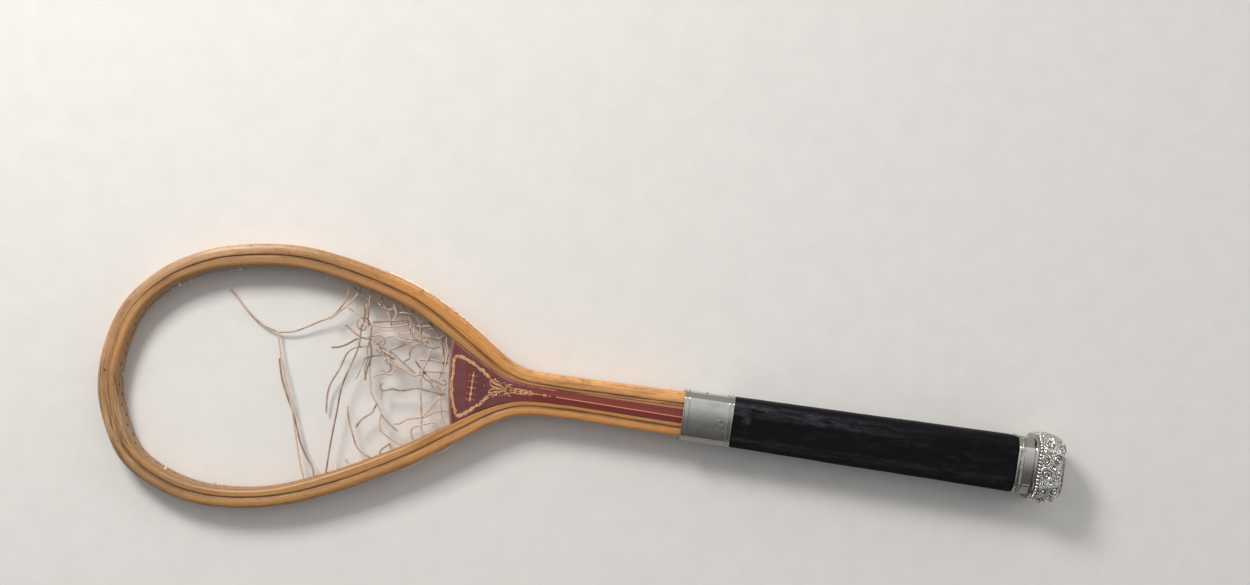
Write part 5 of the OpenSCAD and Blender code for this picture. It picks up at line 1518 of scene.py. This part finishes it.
def lacquer_finish(colours):
    """Dark red lacquer, faded to purple in patches and outside the border, with a worn pinkish
    front edge that is partly a painted highlight, a pale line along its upper side, a painted
    shadow in a dark gap along the lower one, and scratches."""
    material, t, out = new_finish("Red lacquer", Coat_Weight=0.25, Coat_Roughness=0.3)
    here = t.object()
    from_front = t.parts(t.uv("front"))[0]
    from_upper, from_lower, _ = t.parts(t.uv("sides"))
    x = t.parts(here)[0]
    faded = t.step(t.noise(here, (110, 75, 75), 4, 0.6, 0.5), 0.45, 0.75)
    zone = t.larger(t.near(from_front, 0.0085, 0.005), t.step(from_upper, 0.0062, 0.003))
    zone = t.times(zone, t.step(t.noise(here, 260, 4, 0.7), 0.3, 0.62))
    colour = t.mix(t.larger(t.times(faded, 0.4), zone), colours.lacquer, colours.lacquer_faded)
    dark = t.near(from_front, 0.0235, 0.006)
    colour = t.tint(colour, (0.085, 0.032, 0.026), dark, 0.5)
    grain = t.effect("Wood grain", Vector=here, Lines=900.0)
    stripes, _ = shaft_stripes(t, here, colours, grain["Figure"])
    tail = t.step(x, X0 - 0.404, X0 - 0.368)
    colour = t.mix(tail, colour, stripes)
    colour = t.tint(colour, (0.06, 0.018, 0.016), grain["Streaks"], 0.3)
    scratch = t.step(t.noise(here, (500, 240, 400), 4, 0.75, 2.5), 0.64, 0.72)
    colour = t.tint(colour, colours.worn_wood_and_highlight, scratch, 0.35)
    # Pinkish front edge: partly wear through the lacquer, partly a painted highlight along the
    # rounded edge
    ragged = t.times(t.noise(here, 500, 4), 0.0012)
    front = t.step(t.plus(from_front, ragged), 0.0026, 0.0017)
    colour = t.mix(front, colour, colours.worn_wood_and_highlight)
    broken = t.step(t.noise(here, (90, 90, 90), 3), 0.35, 0.6)
    pale = t.times(t.near(from_upper, 0.0005, 0.0006), broken)
    colour = t.tint(colour, colours.line, pale, 0.6)
    # Painted shadow: near black along the lower side by the lower limb, where a gap would be shaded
    gap = t.times(t.step(from_lower, 0.0012, 0.0003), t.near(x, X0 - 0.4035, 0.013))
    t.put(out["Base Color"], t.mix(gap, colour, (0.012, 0.006, 0.005)))
    t.put(out["Roughness"], t.plus(0.38, t.times(faded, 0.2)))
    t.put(out["Normal"], t.bump(t.plus(scratch, grain["Streaks"]), 0.00006, 0.4))
    return material


def gilt_finish(colours):
    """Gilding that is rubbed through to the lacquer in places."""
    material, t, out = new_finish("Worn gilding", Roughness=0.5)
    here = t.object()
    worn = t.effect("Wear", Vector=here, Size=640.0, Amount=0.45)["Mask"]
    dull = t.noise(here, 700, 3)
    gilt = t.mix(t.step(dull, 0.4, 0.7), colours.gilt, (0.5, 0.24, 0.12))
    t.put(out["Base Color"], t.mix(t.times(worn, 0.75), gilt, colours.lacquer_faded))
    t.put(out["Metallic"], t.times(t.minus(1.0, worn), 0.2))
    return material


def filler_finish(colours):
    """Red stain on the strip between the limbs, in long streaks, with a thin pale line along its
    middle and a paler edge beside the upper limb."""
    material, t, out = new_finish("Stained filler", Coat_Weight=0.2, Coat_Roughness=0.3)
    here = t.object()
    grain = t.effect("Wood grain", Vector=here, Lines=900.0)
    colour, y = shaft_stripes(t, here, colours, grain["Figure"])
    grey = t.times(t.step(grain["Figure"], 0.35, 0.8), t.step(y, 0.001, 0.0025))
    colour = t.tint(colour, colours.lacquer_faded, grey, 0.5)
    colour = t.tint(colour, (0.05, 0.012, 0.01), grain["Streaks"], 0.4)
    line = t.near(y, 0, 0.00052)
    colour = t.tint(colour, colours.line, line, 0.95)
    above = t.minus(t.parts(here)[1], Y0)
    edge = t.times(t.step(above, 0.0041, 0.0046), t.step(t.parts(here)[0], X0 - 0.352, X0 - 0.335))
    colour = t.tint(colour, colours.ash_wall, edge, 0.8)
    t.put(out["Base Color"], colour)
    t.put(out["Roughness"], t.plus(0.4, t.times(grain["Figure"], 0.2)))
    t.put(out["Normal"], t.bump(grain["Streaks"], 0.00008, 0.5))
    return material


def bare_finish(colours):
    """Bare wood inside the handle."""
    material, t, out = new_finish("Bare wood")
    grain = t.effect("Wood grain", Vector=t.object(), Lines=700.0)
    colour = t.mix(t.times(grain["Streaks"], 0.5), colours.bare_wood, (0.2, 0.11, 0.05))
    t.put(out["Base Color"], t.mix(t.times(grain["Pores"], 0.4), colour, (0.1, 0.05, 0.02)))
    t.put(out["Roughness"], t.plus(0.6, t.times(grain["Figure"], 0.2)))
    t.put(out["Normal"], t.bump(grain["Pores"], 0.0001, 0.5))
    return material


def velvet_finish(colours):
    """Black velvet: a fine pile with a soft sheen, threadbare streaks along the upper front
    corner that are partly painted sheen and fade away from the collar, a fainter painted sheen
    along the lower corner, and a brushed patch by the collar."""
    material, t, out = new_finish("Black velvet", Roughness=0.9, Specular_IOR_Level=0.2,
                                  Sheen_Weight=0.06, Sheen_Roughness=0.4,
                                  Sheen_Tint=(0.42, 0.43, 0.52))
    here = t.object()
    around = t.uv("around")
    x, y, z = t.parts(here)
    brushed = t.noise(around, (700, 1400, 1), 3, 0.6)
    cloud = t.step(t.noise(around, (190, 60, 1), 5, 0.7, 1.0), 0.5, 0.75)
    # Painted sheen, partly threadbare nap: paler streaks along the upper front corner and, fainter,
    # along the lower corner
    ridge = t.near(t.minus(y, Y0), 0.0105, 0.0058)
    ridge = t.times(ridge, t.step(z, Z0, Z0 + 0.01))
    ridge = t.times(ridge, t.step(x, X0 - 0.07, X0 - 0.19))
    streak = t.step(t.noise(here, (60, 420, 1), 5, 0.7, 0.8), 0.36, 0.66)
    ridge = t.times(ridge, streak)
    lower = t.times(t.near(t.minus(y, Y0), -0.0125, 0.0045), streak)
    ridge = t.larger(ridge, t.times(lower, 0.4))
    worn = t.larger(t.spot(here, (-229, 9, 15), 6, 0.012), t.spot(here, (-226, 3, 15.5), 4, 0.01))
    light = t.larger(t.times(cloud, 0.22), t.times(ridge, 0.75))
    light = t.larger(light, t.times(worn, 0.5))
    light = t.times(light, t.step(brushed, 0.2, 0.65))
    t.put(out["Base Color"], t.mix(light, colours.velvet, colours.velvet_nap_and_sheen))
    pile = t.plus(t.noise(here, 2600, 2), brushed)
    t.put(out["Normal"], t.bump(pile, 0.0004, 0.6))
    return material


def silver_finish(colours, name, amount, chased=False):
    """Silver with a film of tarnish. On the chased cap it also lies in the hollows, which the
    relief map tells apart; elsewhere painted shade in the tarnish colour darkens the lower side
    and the edges, for the dark reflections there, and the silver has a few dents."""
    material, t, out = new_finish(name, Metallic=1.0)
    here = t.object()
    if chased:
        hollows_and_painted_shade = t.times(t.step(t.parts(t.uv("relief"))[0], 0.55, 0.1), 0.8)
    else:
        # Painted shade for dark reflections: darker towards the bottom of the band and on its edges
        above = t.minus(t.parts(here)[1], Y0)
        lower = t.times(t.step(above, 0.0105, -0.005), 0.56)
        sides = t.times(t.step(t.math("ABSOLUTE", above), 0.0128, 0.0142), 0.6)
        hollows_and_painted_shade = t.larger(lower, sides)
    film = t.effect("Tarnish", Vector=here, Recess=hollows_and_painted_shade, Amount=amount)
    colour = t.mix(film["Mask"], colours.silver, colours.tarnish)
    scratch = t.step(t.noise(here, (300, 1900, 1900), 3, 0.7, 2.0), 0.66, 0.72)
    t.put(out["Base Color"], t.mix(t.times(scratch, 0.25), colour, colours.tarnish))
    t.put(out["Roughness"], film["Roughness"])
    if chased:
        t.put(out["Normal"], t.bump(t.noise(here, 1500, 2), 0.00006, 0.6))
    else:
        dents = [t.spot(here, (x, y, 15), r, 0.0012) for x, y, r in (
            (-245.5, 1.5, 1.6), (-243.5, -1.4, 2.0), (-246, -4.2, 1.5), (-242, -5.6, 1.3),
            (-240.8, 1.8, 1.1))]
        dent = dents[0]
        for other in dents[1:]:
            dent = t.larger(dent, other)
        dent = t.times(dent, t.noise(here, 380, 2))
        wave = t.minus(t.noise(here, 60, 2, 0.4), t.times(dent, 0.24))
        t.put(out["Normal"], t.bump(wave, 0.0003, 0.6))
    return material


def gut_finish(colours):
    """Dry gut: every strand has its own shade, is darker and greasy in patches, has painted shade
    in the valleys between its plies, and is pale where it is frayed."""
    material, t, out = new_finish("Dry gut", Coat_Weight=0.12, Coat_Roughness=0.3)
    here = t.object()
    shade = t.parts(t.uv("strand"))[1]
    from_end, turn, _ = t.parts(t.uv("ply"))
    patch = t.noise(here, 95, 4, 0.65, 0.5)
    old = t.step(t.plus(t.times(shade, 0.5), patch), 0.55, 1.05)
    colour = t.mix(old, colours.gut, colours.gut_old)
    # Painted shade in the valleys between the plies
    ply = t.math("COSINE", t.times(turn, 2 * pi))
    colour = t.tint(colour, (0.14, 0.09, 0.06), t.step(ply, 0.1, -1.0), 0.28)
    speck = t.step(t.noise(here, 700, 3, 0.6), 0.66, 0.74)
    colour = t.tint(colour, (0.05, 0.03, 0.02), speck, 0.4)
    ragged = t.times(t.noise(here, 600, 3), 0.002)
    frayed = t.times(t.step(t.plus(from_end, ragged), 0.0024, 0.001), 0.6)
    frayed = t.larger(frayed, t.times(t.step(shade, 0, -0.4), 0.75))
    t.put(out["Base Color"], t.mix(frayed, colour, colours.gut_fray))
    t.put(out["Roughness"], t.plus(0.38, t.times(frayed, 0.4)))
    return material


def floor_finish(colours):
    """Plain pale floor with a very faint mottle."""
    material, t, out = new_finish("Pale floor", Roughness=0.85)
    mottle = t.noise(t.object(), 55, 5, 0.6)
    darker = tuple(v * 0.965 for v in colours.floor)
    t.put(out["Base Color"], t.mix(t.step(mottle, 0.3, 0.7), colours.floor, darker))
    return material


def finish_for(name):
    """The finish of this name, made at its first use."""
    colours = bpy.context.scene.racket_colours
    if "Wear" not in bpy.data.node_groups:
        make_effects()
    makers = {
        "Varnished ash": ash_finish, "Red lacquer": lacquer_finish, "Worn gilding": gilt_finish,
        "Stained filler": filler_finish, "Bare wood": bare_finish,
        "Black velvet": velvet_finish, "Dry gut": gut_finish, "Pale floor": floor_finish,
        "Sheet silver": lambda c: silver_finish(c, "Sheet silver", 0.22),
        "Wire silver": lambda c: silver_finish(c, "Wire silver", 0.35),
        "Chased silver": lambda c: silver_finish(c, "Chased silver", 0.3, True),
    }
    return bpy.data.materials.get(name) or makers[name](colours)


def dress_node(node, finish):
    """Puts a finish on a CAD node that stays."""
    for slot in bpy.data.objects[node].material_slots:
        slot.material = finish_for(finish)


# Operators


class RacketOperator(bpy.types.Operator):
    """Shared by all steps: the sizes and colours come from the scene"""
    bl_options = {"REGISTER"}

    @property
    def sizes(self):
        return bpy.context.scene.racket_sizes


class RACKET_OT_camera(RacketOperator):
    """Camera straight above the string plane, turned as the photograph is"""
    bl_idname = "racket.camera"
    bl_label = "Camera"

    def execute(self, context):
        data = bpy.data.cameras.new("camera")
        data.sensor_width, data.lens = 36, CAMERA_LENS
        camera = bpy.data.objects.new("camera", data)
        context.collection.objects.link(camera)
        camera.location = (CAMERA_X, CAMERA_Y, Z0 + CAMERA_HEIGHT)
        camera.rotation_euler = (0, 0, radians(CAMERA_TURN))
        context.scene.camera = camera
        return {"FINISHED"}


class RACKET_OT_gut(RacketOperator):
    """Gut strings: long strands as cords of their own, short ones joined node by node"""
    bl_idname = "racket.gut"
    bl_label = "Gut strings"

    def execute(self, context):
        sizes = self.sizes
        frays = Surface("strand", "ply")
        seed = 0
        for node, strands in GUT.items():
            rest = Surface("strand", "ply")
            for number, strand in enumerate(strands):
                seed += 1
                path = strand_path(strand, sizes)
                free = (not strand.start and not strand.end, True)
                add_frays(frays, path, seed, free)
                length = run_length(path)[-1] * MM
                if length < CORD_FROM:
                    add_gut(rest, path, sizes, seed, free)
                    continue
                surface = Surface("strand", "ply")
                add_gut(surface, path, sizes, seed, free)
                piece = surface.object(f"{node}_{number + 1}")
                finish_piece(piece, "Dry gut", [node], 60)
            if rest.points:
                finish_piece(rest.object(f"{node}_short"), "Dry gut", [node], 60)
        for node, runs in OUTER_RUNS.items():
            surface = Surface("strand", "ply")
            for run in runs:
                seed += 1
                path = outer_path(run, sizes)
                add_gut(surface, path, sizes, seed, (True, True), 1.2, True)
                add_frays(frays, path, seed, (True, True), 10, 0.7, 1.15)
            finish_piece(surface.object(node), "Dry gut", [node], 60)
        surface = Surface("strand", "ply")
        for x, y, out in STUBS:
            seed += 1
            path = stub_path(x, y, out, sizes)
            add_gut(surface, path, sizes, seed, (False, True), pale=True)
            add_frays(frays, path, seed, (False, True), 16, 0.7, 1.4)
        finish_piece(surface.object("gut_stubs"), "Dry gut", ["gut_stubs"], 60)
        for number, route in enumerate(PLIES):
            path = strand_path(Strand(route), sizes)
            add_gut(frays, path, sizes, 300 + number, (True, True), 0.62)
        finish_piece(frays.object("gut_frays"), "Dry gut")
        return {"FINISHED"}


class RACKET_OT_bow(RacketOperator):
    """Bent ash bow with its groove and string holes"""
    bl_idname = "racket.bow"
    bl_label = "Ash bow"

    def execute(self, context):
        bow = bow_surface(self.sizes).object("bow")
        drill(bow, hole_cutters(self.sizes).object("drill"))
        finish_piece(bow, "Varnished ash", ["ash_bow"], 50)
        return {"FINISHED"}


class RACKET_OT_wedge(RacketOperator):
    """Lacquered wedge in the throat"""
    bl_idname = "racket.wedge"
    bl_label = "Throat wedge"

    def execute(self, context):
        finish_piece(wedge_surface().object("wedge"), "Red lacquer",
                     ["throat_wedge"], 35)
        return {"FINISHED"}


class RACKET_OT_gilding(RacketOperator):
    """Gilt scrolls, border and lozenges on the wedge"""
    bl_idname = "racket.gilding"
    bl_label = "Gilding"

    def execute(self, context):
        finish_piece(gilding_surface(self.sizes).object("gilding"), "Worn gilding",
                     sharp=60)
        return {"FINISHED"}


class RACKET_OT_woods(RacketOperator):
    """Finishes of the filler strip and of the wood inside the handle"""
    bl_idname = "racket.woods"
    bl_label = "Filler and handle woods"

    def execute(self, context):
        dress_node("shaft_filler", "Stained filler")
        for node in ("handle_cheek_front", "handle_cheek_back", "handle_slip_upper",
                     "handle_slip_lower", "butt_block"):
            dress_node(node, "Bare wood")
        return {"FINISHED"}


class RACKET_OT_velvet(RacketOperator):
    """Velvet sleeve of the grip"""
    bl_idname = "racket.velvet"
    bl_label = "Velvet"

    def execute(self, context):
        surface, flat = velvet_surface(self.sizes)
        sleeve = surface.object("velvet")
        finish_piece(sleeve, "Black velvet", ["velvet_sleeve"], 70)
        return {"FINISHED"}


class RACKET_OT_upper_collar(RacketOperator):
    """Silver band at the top of the grip, with its wires and pins"""
    bl_idname = "racket.upper_collar"
    bl_label = "Upper collar"

    def execute(self, context):
        shape = (0.9, 8, 24, 0.0005)
        band_piece("upper_collar", "Sheet silver", "upper_collar_band",
                   strip_profile(*reach("upper_collar_band"), SEAT, SHEET), shape)
        for node in ("upper_collar_front_wires", "upper_collar_rear_wires"):
            wires = Surface("around")
            x0, x1 = reach(node)
            for a in (x0, x1 - WIRE):
                add_band(wires, wire_profile(a, a + WIRE, 0.8, 0.8), *shape)
            finish_piece(wires.object(node + "_fine"), "Wire silver", [node])
        dress_node("collar_pins", "Sheet silver")
        return {"FINISHED"}


class RACKET_OT_lower_collar(RacketOperator):
    """Silver bead, milled band and plain band between the velvet and the cap"""
    bl_idname = "racket.lower_collar"
    bl_label = "Lower collar"

    def execute(self, context):
        band_piece("lower_bead", "Wire silver", "lower_collar_bead",
                   wire_profile(*reach("lower_collar_bead"), SEAT, 1.5), (2.4, 10, 24, 0.0005))
        milled = milled_surface(self.sizes, *reach("lower_collar_milled_band"), SEAT, 1.18)
        finish_piece(milled.object("milled_band"), "Wire silver",
                     ["lower_collar_milled_band"])
        band_piece("plain_band", "Sheet silver", "lower_collar_plain_band",
                   strip_profile(*reach("lower_collar_plain_band"), SEAT, SHEET),
                   (1.2, 8, 24, 0.0006))
        return {"FINISHED"}


class RACKET_OT_cap(RacketOperator):
    """Chased silver cap, with its rim and end plate"""
    bl_idname = "racket.cap"
    bl_label = "Butt cap"

    def execute(self, context):
        finish_piece(cap_surface(self.sizes).object("cap"), "Chased silver",
                     ["butt_cap"], 60)
        x0, x1 = reach("cap_flange")
        profile = strip_profile(x0, x1, SEAT, FLANGE, 0.5)[:-3]
        profile += [(x1, SEAT + FLANGE), (x1, SEAT)]
        band_piece("cap_rim", "Wire silver", "cap_flange", profile, (6.0, 20, 24, 0.0007))
        x0, x1 = reach("butt_plate")
        turn = np.linspace(0, pi / 2, 6)
        soft = 0.45
        x = np.concatenate([[x0], x1 - soft + soft * np.sin(turn)])
        r = np.concatenate([[0.0], -soft + soft * np.cos(turn)])
        plate = Surface("around")
        plate.grid(handle_ring(x, r, 3.4, 12, 8), ends=True)
        finish_piece(plate.object("end_plate"), "Sheet silver", ["butt_plate"])
        return {"FINISHED"}


class RACKET_OT_stage(RacketOperator):
    """Pale floor that the racket lies on, soft lamps and an even sky"""
    bl_idname = "racket.stage"
    bl_label = "Stage"

    def execute(self, context):
        side = np.linspace(-2.4, 2.4, 25)
        x, y = np.meshgrid(side, side, indexing="ij")
        z = FLOOR_RISE * (FLOOR_FOOT - x) / FLOOR_RUN - FLOOR_GAP
        mesh = bpy.data.meshes.new("floor")
        n = len(side)
        k = (np.arange(n - 1)[:, None] * n + np.arange(n - 1)).ravel()
        mesh.from_pydata(np.stack([x, y, z], -1).reshape(-1, 3).tolist(), [],
                         np.stack([k, k + n, k + n + 1, k + 1], 1).tolist())
        floor = bpy.data.objects.new("floor", mesh)
        context.collection.objects.link(floor)
        mesh.materials.append(finish_for("Pale floor"))

        self.lamp("key", (-0.75, 0.92, 1.05), 0.42, 16.5, (1.0, 0.985, 0.96))
        self.lamp("fill", (0.75, -0.9, 1.2), 1.1, 1.6, (0.97, 0.985, 1.0))
        self.lamp("end", (1.15, 0.35, 0.5), 0.5, 1.2, (1.0, 1.0, 1.0))

        world = bpy.data.worlds.new("sky")
        context.scene.world = world
        world.use_nodes = True
        t = Tree(world.node_tree)
        x, y, z = t.parts(t.node("ShaderNodeTexCoord").outputs["Generated"])
        slope = t.plus(y, t.times(x, -0.12))
        bright = t.step(slope, -0.2, 0.06)
        colour = t.mix(bright, (0.1, 0.1, 0.105), (0.66, 0.66, 0.67))
        background = world.node_tree.nodes["Background"]
        t.put(background.inputs["Color"], colour)
        background.inputs["Strength"].default_value = 1.0
        context.scene.view_settings.view_transform = "Standard"
        return {"FINISHED"}

    def lamp(self, name, at, size, power, colour):
        """A square area lamp that points at the middle of the racket."""
        data = bpy.data.lights.new(name, "AREA")
        data.size, data.energy, data.color = size, power, colour
        lamp = bpy.data.objects.new(name, data)
        bpy.context.collection.objects.link(lamp)
        lamp.location = at
        lamp.rotation_euler = (-lamp.location).to_track_quat("-Z", "Y").to_euler()


STEPS = (
    RACKET_OT_camera, RACKET_OT_gut, RACKET_OT_bow, RACKET_OT_wedge, RACKET_OT_gilding,
    RACKET_OT_woods, RACKET_OT_velvet, RACKET_OT_upper_collar, RACKET_OT_lower_collar,
    RACKET_OT_cap, RACKET_OT_stage,
)


class RACKET_PT_panel(bpy.types.Panel):
    """Lists the racket's sizes, colours and steps"""
    bl_label = "Racket"
    bl_space_type = "VIEW_3D"
    bl_region_type = "UI"
    bl_category = "Racket"

    def draw(self, context):
        scene = context.scene
        for group in (scene.racket_sizes, scene.racket_colours):
            for name in group.__annotations__:
                self.layout.prop(group, name)
        for step in STEPS:
            self.layout.operator(step.bl_idname)


CLASSES = (RacketSizes, RacketColours) + STEPS + (RACKET_PT_panel,)


def register():
    for item in CLASSES:
        bpy.utils.register_class(item)
    bpy.types.Scene.racket_sizes = PointerProperty(type=RacketSizes)
    bpy.types.Scene.racket_colours = PointerProperty(type=RacketColours)


def unregister():
    del bpy.types.Scene.racket_colours
    del bpy.types.Scene.racket_sizes
    for item in reversed(CLASSES):
        bpy.utils.unregister_class(item)


def main():
    register()
    for step in STEPS:
        group, name = step.bl_idname.split(".")
        getattr(getattr(bpy.ops, group), name)()


if __name__ == "__main__":
    main()
